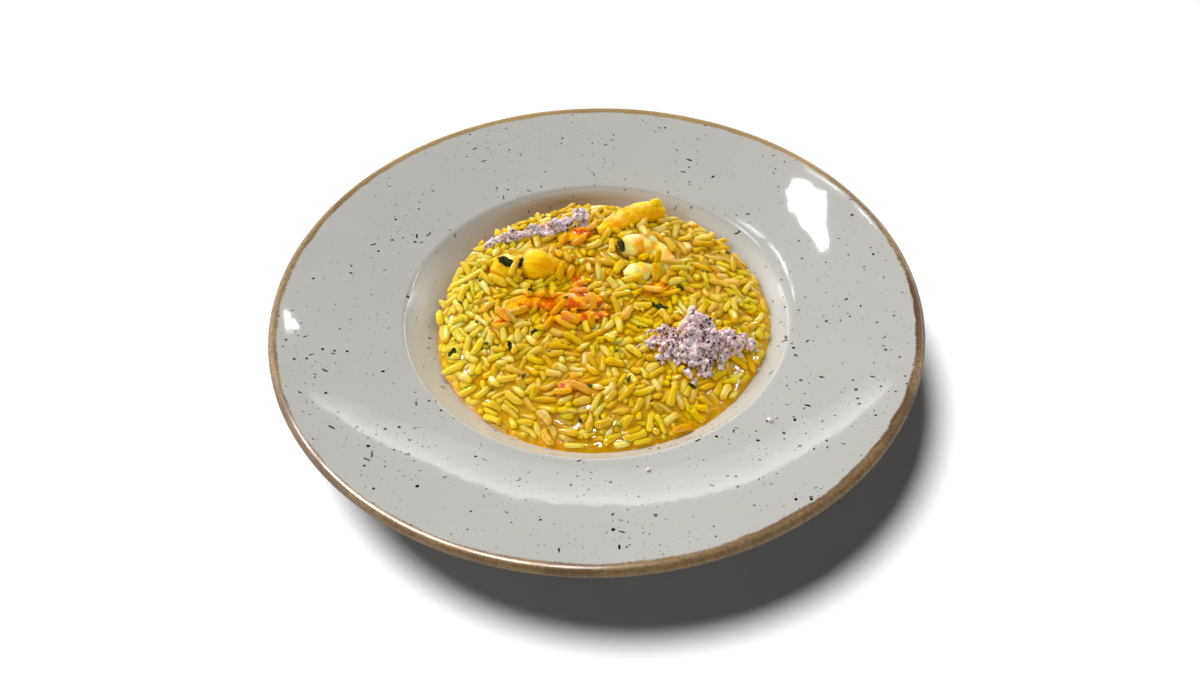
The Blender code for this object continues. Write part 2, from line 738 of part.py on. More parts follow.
def place_grains(trees):
    """Spread grains evenly over the heap on a sunflower spiral, each turned to where it has most room."""
    draw = random.Random(SEED)
    grains = []
    for k in range(GRAIN_COUNT):
        reach = math.sqrt((k + 0.5) / GRAIN_COUNT)
        angle = GOLDEN_ANGLE * k
        outline = heap_outline(angle) * GRAIN_REACH
        x = HEAP_CENTRE[0] + reach * outline * math.cos(angle) + draw.uniform(-GRAIN_JITTER, GRAIN_JITTER)
        y = HEAP_CENTRE[1] + reach * outline * math.sin(angle) + draw.uniform(-GRAIN_JITTER, GRAIN_JITTER)
        normal = core_normal(x, y)
        radius = draw.uniform(*GRAIN_RADIUS)
        length = draw.uniform(*GRAIN_LENGTH)
        tilt = draw.uniform(-GRAIN_TILT, GRAIN_TILT)
        first_yaw = draw.uniform(0.0, math.pi)
        middle = Vector((x, y, core_top(x, y))) + normal * GRAIN_STAND
        best = None
        best_room = 0.0
        for shorter in GRAIN_SHORTENING:
            for turn in range(GRAIN_YAWS):
                yaw = first_yaw + math.pi * turn / GRAIN_YAWS
                flat = Vector((math.cos(yaw), math.sin(yaw), 0.0))
                along = (flat - normal * flat.dot(normal)).normalized()
                along = (along * math.cos(tilt) + normal * math.sin(tilt)).normalized()
                grain = Grain(middle, along, length * shorter, radius)
                if grain.clear_of_bowl() and grain.clear_of(trees):
                    room = grain.room_to(grains)
                    if best is None or room > best_room:
                        best, best_room = grain, room
            if best is not None:
                break
        if best is not None and best_room > radius * GRAIN_LEAST_ROOM:
            grains.append(best)
    return [grain_solid(f"grain_{k}", grain, draw) for k, grain in enumerate(grains)]


# ---- the whole ----

def build():
    clear_scene()
    glaze = plain_material("glazed_stoneware", GLAZE, 0.15)
    rice = plain_material("saffron_rice", SAFFRON, 0.3)
    prawn_flesh = plain_material("prawn_flesh", PRAWN, 0.3)
    tomato = plain_material("cooked_tomato", TOMATO, 0.2)
    crumb = plain_material("crumb", CRUMB, 0.8)

    bowl = turned_solid("bowl", bowl_profile(), BOWL_SEGMENTS)
    finish_object(bowl, glaze)

    toppings = []
    for name, points in PRAWNS.items():
        prawn = swept_solid(name, points, PRAWN_RINGS, PRAWN_SIDES, ridge=PRAWN_RIDGE)
        extras = herb_scraps(name)
        if name == "prawn_back":
            extras.append(swept_solid("prawn_nub", PRAWN_NUB, rings=3, sides=7))
        if extras:
            fuse(prawn, extras)
        trim_to_heap(prawn)
        finish_object(prawn, prawn_flesh)
        toppings.append(prawn)
    for name, points in TOMATO_PIECES.items():
        piece = swept_solid(name, points, 2 * len(points) - 3, TOMATO_SIDES, height=TOMATO_FLATNESS)
        trim_to_heap(piece)
        finish_object(piece, tomato)
        toppings.append(piece)
    draw = random.Random(SEED)
    mound = crumb_heap(mound_base("crumb_mound"), mound_lumps(draw))
    strip = crumb_heap(strip_base("crumb_strip"), strip_lumps(draw))
    for heap in (mound, strip):
        finish_object(heap, crumb)
        toppings.append(heap)

    risotto = heap_solid("risotto")
    trees = [search_tree(thing) for thing in toppings]
    fuse(risotto, [*place_grains(trees), *herb_scraps("risotto")])
    thin_out(risotto, RICE_KEPT_SHARE)
    finish_object(risotto, rice)


build()
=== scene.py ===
"""The looks of a saffron risotto with prawns, tomato, herbs and crumbs in a wide-rimmed speckled bowl.

Sizes here are in millimetres, and MM turns them into the frame's metres. The origin is under the bowl's
centre, +Z is up, and -Y is the side that faces the viewer.
"""

import math

import bmesh
import bpy
import numpy as np
from mathutils import Matrix, Quaternion, Vector, noise
from mathutils.bvhtree import BVHTree
from mathutils.kdtree import KDTree


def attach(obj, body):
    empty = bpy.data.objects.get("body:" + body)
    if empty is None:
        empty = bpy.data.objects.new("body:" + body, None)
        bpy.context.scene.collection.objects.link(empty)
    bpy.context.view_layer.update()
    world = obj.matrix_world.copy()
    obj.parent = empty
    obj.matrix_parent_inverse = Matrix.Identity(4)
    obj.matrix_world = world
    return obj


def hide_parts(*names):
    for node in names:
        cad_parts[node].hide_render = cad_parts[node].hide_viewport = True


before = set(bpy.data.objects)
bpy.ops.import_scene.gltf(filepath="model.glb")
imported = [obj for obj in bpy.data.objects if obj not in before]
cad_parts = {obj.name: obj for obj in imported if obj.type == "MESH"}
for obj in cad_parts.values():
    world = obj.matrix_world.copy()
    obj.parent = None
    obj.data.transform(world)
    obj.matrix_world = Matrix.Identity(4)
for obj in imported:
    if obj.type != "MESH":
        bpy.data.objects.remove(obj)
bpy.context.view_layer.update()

MM = 0.001
SEED = 7
BODY = "root"
GOLDEN_ANGLE = math.pi * (3.0 - math.sqrt(5.0))

# Bowl
BOWL_RADIUS = 140.0
BOWL_SEGMENTS = 256
LIP_RADIUS = 2.5
RIM_SLOPE = math.radians(8.0)
RIM_STEPS = 26
WELL_EDGE_RADIUS = 83.0
WELL_EDGE_HEIGHT = 39.7
WELL_EDGE_FILLET = 4.0
WELL_SLOPE = math.radians(44.0)
WELL_STEPS = 12
FLOOR_HEIGHT = 10.5
FLOOR_FILLET = 25.0
BODY_THICKNESS = 5.2
FOOT_RADIUS = 52.4
FOOT_WIDTH = 4.0
FOOT_HOLLOW = 5.0
RIM_WAVE = 0.10
RIM_RIPPLE = 0.012
BAND_RADIUS = 136.5
BAND_WIDTH = 10.0
BAND_SHIFT = 1.0
BAND_SPREAD = 2.4
# Share of painted light that whitens the well's inside
WELL_PAINTED_LIGHT = 0.95
# Specks: cell, largest radius, and share of the cells that hold one; the dashes' turns and cells
SPECK_DOTS = (5.2, 0.84, 0.38)
SPECK_PEPPER = (2.7, 0.36, 0.5)
SPECK_DASHES = ((0.45, 6.2), (-0.5, 7.0), (1.5, 7.8))
DASH_STRETCH = 0.3

# Heap of rice
GAP = 0.3
FLATS = 0.3
HEAP_CENTRE = (1.4, -0.2)
HEAP_RADIUS = 72.4
HEAP_BULGE = 1.2
HEAP_BULGE_ANGLE = math.radians(35.0)
PLATEAU_HEIGHT = 38.3
PLATEAU_RISE = 3.0 / 70.0
SHOULDER_FRONT = 0.42
SHOULDER_BACK = 0.18
SHOULDER_FRONT_POWER = 1.15
SHOULDER_BACK_POWER = 1.9
SHOULDER_TURN = 0.75
UNDULATION = 0.8
UNDULATION_SIZE = 17.0

# Grains
GRAIN_COUNT = 2000
GRAIN_LENGTH = (7.0, 10.4)
GRAIN_RADIUS = (1.25, 1.85)
GRAIN_BROKEN_SHARE = 0.16
GRAIN_TILT = 0.6
GRAIN_LAYERS = (-1.2, 2.0, 5.0)
GRAIN_RESTLESS = (0.28, 0.45)
GRAIN_RINGS = 9
GRAIN_SIDES = 9
GRAIN_FLATNESS = 0.86
GRAIN_BEND = 0.9
GRAIN_LUMPS = 0.42
GRAIN_LUMP_SIZE = 2.2
GRAIN_SOFTNESS = 0.88
SETTLE_ROUNDS = 120
SETTLE_FALL = 0.14
BED_DEPTH = 4.4

# Sauce
SAUCE_RINGS = 168
RASTER_STEP = 0.4
GRAIN_RELIEF = (2.7, 2.2)
BARE_ABOVE = (0.45, 0.65)
WET_FROM = -5.0
WET_TO = -42.0
MENISCUS_RISE = 1.25
MENISCUS_REACH = 0.65
SAUCE_CREEP = 1.2

# Prawns: each is a list of (x, y, height over the heap, radius), as in the solids.
PRAWNS = {
    "prawn_back": [
        (1.5, 47.5, 1.2, 2.6), (7.5, 50.5, 2.6, 4.0), (14.5, 54.5, 3.6, 4.8),
        (22.0, 57.5, 4.4, 5.0), (28.5, 59.0, 4.8, 4.6), (32.5, 59.5, 4.6, 2.6),
    ],
    "prawn_curled": [
        (11.5, 35.0, 1.4, 3.4), (15.8, 36.0, 3.2, 6.0), (22.5, 36.6, 2.8, 5.6),
        (28.5, 33.5, 2.0, 4.7), (32.5, 27.0, 1.4, 4.0), (34.5, 18.5, 0.6, 2.6),
    ],
    "prawn_left": [
        (-46.5, 23.0, 0.4, 3.6), (-40.0, 23.5, 2.6, 6.3), (-33.0, 24.5, 2.6, 5.2),
        (-26.5, 23.5, 4.0, 7.4), (-19.5, 24.5, 2.4, 5.4), (-12.5, 26.5, 0.8, 2.6),
    ],
    "prawn_chunk": [
        (12.8, 20.0, 0.9, 2.6), (16.5, 20.5, 1.8, 4.2), (21.0, 21.2, 2.0, 4.6), (25.0, 22.8, 1.2, 2.8),
    ],
}
PRAWN_NUB = [(26.0, 58.0, 8.0, 1.4), (28.5, 59.5, 9.6, 2.2), (31.0, 60.0, 8.6, 1.4)]
PRAWN_RINGS = 90
PRAWN_SIDES = 44
FLESH_LUMPS = 0.35
FLESH_LUMP_SIZE = 2.6
PRAWN_JOINTS = {
    "prawn_back": (0.0, 0.24, 0.52, 0.80, 1.0),
    "prawn_curled": (0.0, 0.36, 0.56, 0.74, 1.0),
    "prawn_left": (0.0, 0.36, 0.46, 0.735, 0.80, 1.0),
    "prawn_chunk": (0.0, 0.52, 1.0),
}

# Tomato: the same, but flattened.
TOMATO_FLATNESS = 0.42
TOMATO_LIFT = 0.9
TOMATO_PIECES = {
    "tomato_strip_upper": [
        (-44.5, -11.0, 1.6, 1.5), (-39.5, -4.0, 1.9, 1.9), (-33.5, 2.0, 2.2, 2.2), (-26.0, 2.8, 2.2, 2.5),
        (-19.0, 1.6, 2.0, 3.3), (-11.5, 2.4, 2.2, 3.9), (-4.0, 3.6, 2.1, 3.0), (3.0, 2.4, 1.8, 1.6),
    ],
    "tomato_strip_lower": [
        (-20.0, -6.4, 1.5, 1.5), (-13.5, -6.8, 1.9, 2.2), (-6.5, -6.6, 2.0, 2.4), (0.5, -5.4, 1.8, 1.7),
        (5.0, -4.2, 1.5, 1.2),
    ],
    "tomato_bit_back": [(-13.5, 43.0, 1.6, 1.8), (-8.5, 44.6, 2.2, 3.0), (-3.0, 47.2, 2.0, 2.0)],
    "tomato_bit_middle": [(-9.2, 20.6, 0.9, 1.2), (-8.2, 14.6, 1.6, 2.0), (-7.4, 9.2, 0.9, 1.2)],
    "tomato_bit_front": [(-16.0, -45.6, 1.2, 1.3), (-11.0, -44.8, 1.8, 2.2), (-6.0, -43.6, 1.3, 1.4)],
    "tomato_bit_right": [(24.0, 11.6, 0.9, 1.4), (28.0, 10.4, 1.5, 2.3), (31.8, 9.6, 0.9, 1.3)],
}

# Herbs: larger scraps as (x, y, yaw, length, width), then flecks as (x, y, length).
HERB_SCRAPS = [
    (-40.0, 22.0, 2.7, 6.6, 5.0), (-33.6, 22.6, 1.1, 5.6, 3.6), (11.8, 33.2, 1.9, 7.4, 2.6),
    (27.6, 0.6, -0.6, 8.4, 2.8), (-62.0, -21.0, 1.2, 4.2, 3.2), (-26.6, -13.0, 0.9, 3.2, 2.6),
    (37.4, 10.6, 2.3, 3.6, 2.8), (-36.8, -23.5, 1.7, 4.6, 1.9), (-28.8, 7.6, 1.9, 3.4, 2.2),
    (39.3, -44.0, 2.2, 4.0, 2.2),
]
HERB_FLECKS = [
    (-60.3, 6.1, 2.0), (-51.8, -7.9, 3.0), (-17.1, 32.2, 1.4), (-40.9, 40.0, 1.6), (-13.2, 3.2, 2.2),
    (7.7, 16.3, 2.8), (60.7, 33.6, 2.6), (53.2, 32.5, 1.6), (65.6, 25.8, 2.2), (60.2, 3.2, 2.4),
    (-30.6, -37.9, 2.6), (0.7, -48.2, 1.8), (-3.0, -43.9, 2.2), (-7.2, -60.3, 2.4), (-47.3, -19.4, 2.4),
    (13.0, -41.3, 3.4), (8.4, -26.2, 2.0), (31.5, -19.9, 3.2), (18.0, -12.0, 1.4), (-20.0, -27.0, 1.4),
    (-52.0, 18.0, 1.4), (48.0, 20.0, 1.6), (30.0, 44.0, 1.4), (22.0, -52.0, 1.6), (-44.0, -42.0, 1.6),
]
LEAF_THICKNESS = 0.25
LEAF_WAVE = 0.7
LEAF_LIFT = 0.45

# Crumbs
MOUND_CENTRE = (43.5, -24.0)
MOUND_REACH = 17.5
MOUND_ARMS = (3.0, 5.0, 1.5)
MOUND_HEIGHT = 8.5
MOUND_PEAK = (41.0, -16.5, 5.0, 4.2)
MOUND_CRUMBS = 4400
STRIP_SPINE = [
    (-50.0, 40.5, 1.4), (-45.5, 43.6, 2.2), (-38.5, 45.6, 2.6), (-30.5, 47.4, 2.8), (-22.5, 49.4, 3.2),
    (-15.5, 52.0, 3.2), (-9.5, 55.0, 3.0), (-4.5, 55.0, 2.0),
]
STRIP_CRUMBS = 1700
CRUMB_RADIUS = (0.3, 1.3)
CRUMB_TIERS = ((2, 0.9, 9.0), (1, 0.0, 0.9))
DARK_CRUMBS = 360
DARK_CRUMB_RADIUS = (0.25, 0.7)
STRAY_CRUMBS = [(68.1, -68.0, 1.1), (70.6, -66.6, 0.6), (18.9, -90.9, 0.9)]

# Camera
LENS = 34.40
SENSOR = 36.0
CAMERA_ELEVATION = math.radians(46.038)
CAMERA_ROLL = math.radians(-0.9379)
CAMERA_DISTANCE = 481.56
CAMERA_TARGET = (1.4417, -23.825, 45.6)

# Light: a name, azimuth and elevation in degrees, width in radians, strength, and whether mirrors show it
WORLD_STRENGTH = 0.03
SUNS = {
    "key": (-48.0, 41.0, 0.8, 2.55, False),
    "dome": (-20.0, 82.0, 2.6, 1.95, False),
    "overhead": (-84.0, 71.0, 0.36, 8.6, True),
    "floor_fill": (0.0, 90.0, 3.0, 0.35, True),
    "front": (170.0, 40.0, 1.2, 0.8, False),
}
KEY_COLOUR = (1.0, 0.99, 0.97)
FLOOR_REACH = 4000.0
FLOOR_TOP = -0.05
BACKDROP_RADIUS = 3900.0
BACKDROP_HEIGHT = 3500.0

# What the food mirrors: a name, from and to azimuth, from and to elevation in degrees, brightness
SPARKLES = [
    ("lamp_sparkle", (-62.0, -46.0), (36.0, 46.0), 60.0),
    ("high_sparkle", (-60.0, 20.0), (81.0, 87.0), 55.0),
    ("low_sparkle", (-30.0, 20.0), (17.0, 21.0), 60.0),
    ("right_sparkle", (46.0, 58.0), (50.0, 57.0), 60.0),
]

# Reflections on the glaze, as (angle in degrees, distance from the axis)
CARD_DISTANCE = 150.0
FAR = 1500.0
# A low bright wall behind, which the well's near and right sides mirror, as (elevation, glow)
HORIZON_AZIMUTHS = (-115.0, 75.0)
HORIZON = ((1.0, 0.2), (15.0, 0.4), (16.5, 5.0), (20.0, 5.0), (21.5, 0.7), (33.0, 1.0))
WINDOW_BAND = [
    (203.0, 129.3), (211.0, 123.3), (225.0, 113.3), (237.0, 109.3), (255.0, 108.3), (270.0, 108.3),
    (291.0, 112.3), (314.0, 118.3), (330.0, 126.3), (338.0, 132.3),
]
WINDOW_BAND_WIDTH = 19.0
RIGHT_GLARE = [
    (37.9, 115.9), (39.4, 123.1), (38.4, 126.2), (35.7, 128.2), (33.6, 126.2), (32.1, 129.9), (28.3, 124.3),
    (23.6, 116.2), (17.3, 110.4), (16.4, 106.7), (21.5, 106.9), (27.2, 107.2), (30.0, 109.4), (32.1, 108.3),
]
LEFT_GLARE = [(-177.3, 134.1), (-175.3, 130.3), (-172.6, 127.5), (-172.1, 133.1)]
GLARES = {"right_glare": (RIGHT_GLARE, 16.0), "left_glare": (LEFT_GLARE, 14.0)}

# Thin reflections: a line as above, its sides as (distance off the line, lean of the glaze), and strength
LINE_GLARES = {
    "lip_glare": (
        [(208.0, 137.8), (240.0, 137.8), (272.0, 137.8)],
        [(0.0, 0.02), (0.0, 0.1), (0.0, 0.22), (0.0, 0.3)],
        26.0,
    ),
    "rim_glare": (
        [(40.5, 134.2), (30.5, 135.0), (17.0, 136.0)],
        [(-0.4, -RIM_SLOPE), (0.4, -RIM_SLOPE)],
        16.0,
    ),
    "edge_glare": (
        [(41.0, 87.2), (28.5, 89.0), (12.5, 87.8), (-1.0, 86.2)],
        [(-0.45, -RIM_SLOPE), (0.45, -RIM_SLOPE)],
        16.0,
    ),
    "fillet_glare": ([(39.0, 84.4), (32.0, 84.8), (25.0, 85.0)], [(0.3, -0.22), (-0.3, -0.36)], 16.0),
}


# ---- small tools ----

def linear(red, green, blue):
    """A colour given in screen values from 0 to 255, as linear light."""
    values = []
    for value in (red, green, blue):
        share = value / 255.0
        values.append(share / 12.92 if share <= 0.04045 else ((share + 0.055) / 1.055) ** 2.4)
    return (*values, 1.0)


def blend(low, high, share):
    return low + (high - low) * share


def smoothstep(value, low, high):
    share = np.clip((value - low) / (high - low), 0.0, 1.0)
    return share * share * (3.0 - 2.0 * share)


def unit(rows):
    """Vectors in rows, each made one long."""
    return rows / np.linalg.norm(rows, axis=1)[:, None]


def circle(count):
    """Angles spread evenly round a full turn."""
    return np.arange(count) * 2.0 * math.pi / count


def noise_at(x, y=0.0, z=0.0):
    return noise.noise(Vector((x, y, z)))


def smooth_noise(x, y, z):
    """The same noise over arrays of x and y."""
    values = [noise_at(a, b, z) for a, b in zip(np.ravel(x), np.ravel(y))]
    return np.reshape(values, np.shape(x))


def lumps(corners, reach, size):
    """Small moves that make a form uneven."""
    moves = [noise.noise_vector(Vector(corner) / size) for corner in corners.reshape(-1, 3)]
    return reach * np.reshape(moves, corners.shape)


def curve_point(points, share):
    """A point on the smooth curve through points; each point is a tuple of numbers."""
    place = share * (len(points) - 1)
    k = min(int(place), len(points) - 2)
    t = place - k
    rows = (points[max(k - 1, 0)], points[k], points[k + 1], points[min(k + 2, len(points) - 1)])
    weights = (
        -0.5 * t + t * t - 0.5 * t ** 3,
        1.0 - 2.5 * t * t + 1.5 * t ** 3,
        0.5 * t + 2.0 * t * t - 1.5 * t ** 3,
        -0.5 * t * t + 0.5 * t ** 3,
    )
    return [sum(weight * value for weight, value in zip(weights, column)) for column in zip(*rows)]


def mesh_piece(name, corners, faces, material, attributes=None, sharp_angle=None):
    """A new object of corners in millimetres, smooth, with a float attribute for each name given."""
    mesh = bpy.data.meshes.new(name)
    mesh.from_pydata((np.asarray(corners, float) * MM).tolist(), [], faces)
    for key, values in (attributes or {}).items():
        mesh.attributes.new(key, "FLOAT", "POINT").data.foreach_set("value", np.asarray(values, np.float32))
    mesh.shade_smooth()
    if sharp_angle is not None:
        mesh.set_sharp_from_angle(angle=sharp_angle)
    mesh.materials.append(material)
    thing = bpy.data.objects.new(name, mesh)
    bpy.context.scene.collection.objects.link(thing)
    return thing


def dress(piece, slot, *nodes):
    """Tie a piece to the frame: its body, and hide the solids that it stands for. The slot is not used."""
    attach(piece, BODY)
    if nodes:
        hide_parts(*nodes)
    return piece


def grid_faces(rows, columns):
    """Faces of a grid whose corners come row by row."""
    return [
        (i * columns + j, i * columns + j + 1, (i + 1) * columns + j + 1, (i + 1) * columns + j)
        for i in range(rows - 1) for j in range(columns - 1)
    ]


def tube_faces(rings, sides, start=0):
    """Faces of a row of rings whose corners come ring by ring, then the two end points."""
    faces = []
    for i in range(rings - 1):
        for k in range(sides):
            a = start + i * sides + k
            b = start + i * sides + (k + 1) % sides
            faces.append((a, b, b + sides, a + sides))
    first = start + rings * sides
    last = first + 1
    for k in range(sides):
        after = (k + 1) % sides
        faces.append((start + after, start + k, first))
        faces.append((start + (rings - 1) * sides + k, start + (rings - 1) * sides + after, last))
    return faces


class Look:
    """A material whose nodes are added one by one."""

    def __init__(self, name):
        self.material = bpy.data.materials.new(name)
        self.material.use_nodes = True
        self.tree = self.material.node_tree
        self.shader = self.tree.nodes["Principled BSDF"]
        self.place = self.add("ShaderNodeTexCoord").outputs["Object"]

    def feed(self, socket, value):
        if isinstance(value, bpy.types.NodeSocket):
            self.tree.links.new(value, socket)
        else:
            socket.default_value = value

    def add(self, kind, inputs=None, **settings):
        node = self.tree.nodes.new(kind)
        for key, value in settings.items():
            setattr(node, key, value)
        for key, value in (inputs or {}).items():
            self.feed(node.inputs[key], value)
        return node

    def set(self, **inputs):
        """Set the shader's sockets: base_color becomes Base Color, and so on."""
        for key, value in inputs.items():
            self.feed(self.shader.inputs[key.replace("_", " ").title().replace("Ior", "IOR")], value)

    def value(self, name):
        return self.add("ShaderNodeAttribute", attribute_name=name).outputs["Fac"]

    def noise(self, size, detail=2.0, roughness=0.5, vector=None, output="Fac"):
        """Noise whose lumps are about size millimetres wide."""
        vector = self.place if vector is None else vector
        inputs = {"Vector": vector, "Scale": 1.0 / (size * MM), "Detail": detail, "Roughness": roughness}
        return self.add("ShaderNodeTexNoise", inputs).outputs[output]

    def math(self, operation, a, b):
        return self.add("ShaderNodeMath", {0: a, 1: b}, operation=operation).outputs[0]

    def times(self, a, b):
        return self.math("MULTIPLY", a, b)

    def plus(self, a, b):
        return self.math("ADD", a, b)

    def greater(self, a, b):
        return self.math("MAXIMUM", a, b)

    def vector(self, operation, a, b):
        return self.add("ShaderNodeVectorMath", {0: a, 1: b}, operation=operation).outputs["Vector"]

    def spread(self, value, low, high, to_low=0.0, to_high=1.0, smooth=True):
        """Map value from between low and high to between to_low and to_high."""
        inputs = {"Value": value, "From Min": low, "From Max": high, "To Min": to_low, "To Max": to_high}
        kind = "SMOOTHSTEP" if smooth else "LINEAR"
        return self.add("ShaderNodeMapRange", inputs, interpolation_type=kind).outputs["Result"]

    def mix(self, share, a, b):
        return self.add("ShaderNodeMix", {0: share, 6: a, 7: b}, data_type="RGBA").outputs[2]

    def paint(self, base, *layers):
        """A screen colour with others laid over it in turn, each as (share, red, green, blue)."""
        colour = linear(*base)
        for share, *over in layers:
            colour = self.mix(share, colour, linear(*over))
        return colour

    def bump(self, height, strength, distance):
        inputs = {"Height": height, "Strength": strength, "Distance": distance * MM}
        return self.add("ShaderNodeBump", inputs).outputs["Normal"]


# ---- forms shared with the solids ----

def floor_fillet_centre():
    """The middle of the arc that joins the well's flat floor to its straight wall, as (radius, height)."""
    height = FLOOR_HEIGHT + FLOOR_FILLET
    wall_below = height - FLOOR_FILLET / math.cos(WELL_SLOPE)
    return WELL_EDGE_RADIUS + (wall_below - WELL_EDGE_HEIGHT) / math.tan(WELL_SLOPE), height


FILLET_CENTRE_RADIUS = floor_fillet_centre()[0]


def well_slope(radius):
    """Steepness of the well's inside, as an angle."""
    run = np.clip((radius - FILLET_CENTRE_RADIUS) / FLOOR_FILLET, 0.0, 1.0)
    return np.minimum(np.arcsin(run), WELL_SLOPE)


def well_height(radius):
    """Height of the well's inside at a distance from the axis."""
    wall = WELL_EDGE_HEIGHT + (radius - WELL_EDGE_RADIUS) * math.tan(WELL_SLOPE)
    return np.maximum(wall, FLOOR_HEIGHT + FLOOR_FILLET * (1.0 - np.cos(well_slope(radius))))


def heap_outline(angle):
    """How far the heap reaches from its centre in one direction."""
    ripple = 0.5 * np.sin(3.0 * angle + 1.0) + 0.4 * np.sin(7.0 * angle + 2.2)
    return HEAP_RADIUS + HEAP_BULGE * np.cos(angle - HEAP_BULGE_ANGLE) + ripple


def core_bottom(x, y):
    radius = np.hypot(x, y)
    return well_height(radius) + (GAP + FLATS) / np.cos(well_slope(radius))


def core_top(x, y):
    """Height of the bare heap: sauced and flat in front, standing steep against the wall behind."""
    dx = x - HEAP_CENTRE[0]
    dy = y - HEAP_CENTRE[1]
    angle = np.arctan2(dy, dx)
    outline = heap_outline(angle)
    reach = np.minimum(np.hypot(dx, dy) / outline, 1.0)
    edge_x = HEAP_CENTRE[0] + outline * np.cos(angle)
    edge_y = HEAP_CENTRE[1] + outline * np.sin(angle)
    edge_height = core_bottom(edge_x, edge_y)
    back = np.clip(0.5 + SHOULDER_TURN * np.sin(angle), 0.0, 1.0)
    inward = np.minimum((1.0 - reach) / blend(SHOULDER_FRONT, SHOULDER_BACK, back), 1.0)
    power = blend(SHOULDER_FRONT_POWER, SHOULDER_BACK_POWER, back)
    rise = (1.0 - (1.0 - inward) ** 2) ** (1.0 / power)
    plateau = PLATEAU_HEIGHT + PLATEAU_RISE * y
    wave = UNDULATION * smooth_noise(x / UNDULATION_SIZE, y / UNDULATION_SIZE, 3.0)
    return edge_height + (plateau + wave * inward - edge_height) * rise


class HeightMap:
    """Values on a square grid over the heap, read back between the grid's points."""

    def __init__(self, step, values=None):
        self.step = step
        self.reach = HEAP_RADIUS + 6.0
        self.count = int(2.0 * self.reach / step) + 1
        line = np.arange(self.count) * step - self.reach
        self.x, self.y = np.meshgrid(line, line, indexing="ij")
        self.values = np.zeros_like(self.x) if values is None else values

    def at(self, x, y):
        column = np.clip((x + self.reach) / self.step, 0.0, self.count - 1.001)
        row = np.clip((y + self.reach) / self.step, 0.0, self.count - 1.001)
        i = column.astype(int)
        j = row.astype(int)
        a = column - i
        b = row - j
        near = self.values[i, j] * (1.0 - b) + self.values[i, j + 1] * b
        far = self.values[i + 1, j] * (1.0 - b) + self.values[i + 1, j + 1] * b
        return near * (1.0 - a) + far * a


CORE = HeightMap(1.0)
CORE.values = core_top(CORE.x, CORE.y)


# ---- bowl ----

def arc_points(centre, radius, start, end, count):
    """Points on an arc of a profile, from one angle to another, both ends included."""
    steps = np.linspace(start, end, count)
    return [(centre[0] + radius * math.cos(a), centre[1] + radius * math.sin(a)) for a in steps]


def line_points(start, end, count):
    """Points strictly between two points of a profile."""
    shares = np.linspace(0.0, 1.0, count + 2)[1:-1]
    return [(blend(start[0], end[0], s), blend(start[1], end[1], s)) for s in shares]


def bowl_profile():
    """The turned outline: floor, well wall, well edge, rim, lip, underside and foot ring."""
    down = -math.pi / 2.0
    up = math.pi / 2.0
    floor = arc_points(floor_fillet_centre(), FLOOR_FILLET, down, down + WELL_SLOPE, 10)
    edge_centre = (
        WELL_EDGE_RADIUS + WELL_EDGE_FILLET * math.sin(WELL_SLOPE),
        WELL_EDGE_HEIGHT - WELL_EDGE_FILLET * math.cos(WELL_SLOPE),
    )
    edge = arc_points(edge_centre, WELL_EDGE_FILLET, up + WELL_SLOPE, up + RIM_SLOPE, 9)
    wall = line_points(floor[-1], edge[0], WELL_STEPS)

    rim_end_radius = BOWL_RADIUS - LIP_RADIUS - LIP_RADIUS * math.sin(RIM_SLOPE)
    rim_end_height = edge[-1][1] + (rim_end_radius - edge[-1][0]) * math.tan(RIM_SLOPE)
    lip_centre = (BOWL_RADIUS - LIP_RADIUS, rim_end_height - LIP_RADIUS * math.cos(RIM_SLOPE))
    lip = arc_points(lip_centre, LIP_RADIUS, up + RIM_SLOPE, down + RIM_SLOPE, 12)
    rim = line_points(edge[-1], lip[0], RIM_STEPS)

    bend_radius = WELL_EDGE_RADIUS + WELL_EDGE_FILLET
    bend_height = lip[-1][1] - (lip[-1][0] - bend_radius) * math.tan(RIM_SLOPE)
    bend = [
        (bend_radius + 6.0, bend_height + 0.8), (bend_radius + 3.0, bend_height + 0.1),
        (bend_radius + 0.6, bend_height - 0.7), (bend_radius - 1.5, bend_height - 1.8),
    ]
    under_rim = line_points(lip[-1], bend[0], 12)
    shell = arc_points(floor_fillet_centre(), FLOOR_FILLET + BODY_THICKNESS, down + WELL_SLOPE, down + 0.4, 8)
    under_wall = line_points(bend[-1], shell[0], 8)
    foot_inner = FOOT_RADIUS - FOOT_WIDTH
    foot = [
        (FOOT_RADIUS + 0.8, 1.2), (FOOT_RADIUS + 0.55, 0.45), (FOOT_RADIUS, 0.08), (FOOT_RADIUS - 0.6, 0.0),
        (foot_inner + 0.6, 0.0), (foot_inner, 0.1), (foot_inner - 0.4, 0.6),
        (foot_inner - 0.8, FOOT_HOLLOW - 1.0),
        (foot_inner - 1.6, FOOT_HOLLOW - 0.2), (foot_inner - 3.0, FOOT_HOLLOW),
    ]
    under = line_points(foot[-1], (0.0, FOOT_HOLLOW), 8)
    return [
        (0.0, FLOOR_HEIGHT), *line_points((0.0, FLOOR_HEIGHT), floor[0], 4), *floor, *wall, *edge, *rim,
        *lip, *under_rim, *bend, *under_wall, *shell, *foot, *under, (0.0, FOOT_HOLLOW),
    ]


def rim_height(radius):
    """Height of the rim's upper face."""
    start = WELL_EDGE_RADIUS + WELL_EDGE_FILLET * (math.sin(WELL_SLOPE) - math.sin(RIM_SLOPE))
    height = WELL_EDGE_HEIGHT + WELL_EDGE_FILLET * (math.cos(RIM_SLOPE) - math.cos(WELL_SLOPE))
    return height + (radius - start) * math.tan(RIM_SLOPE)


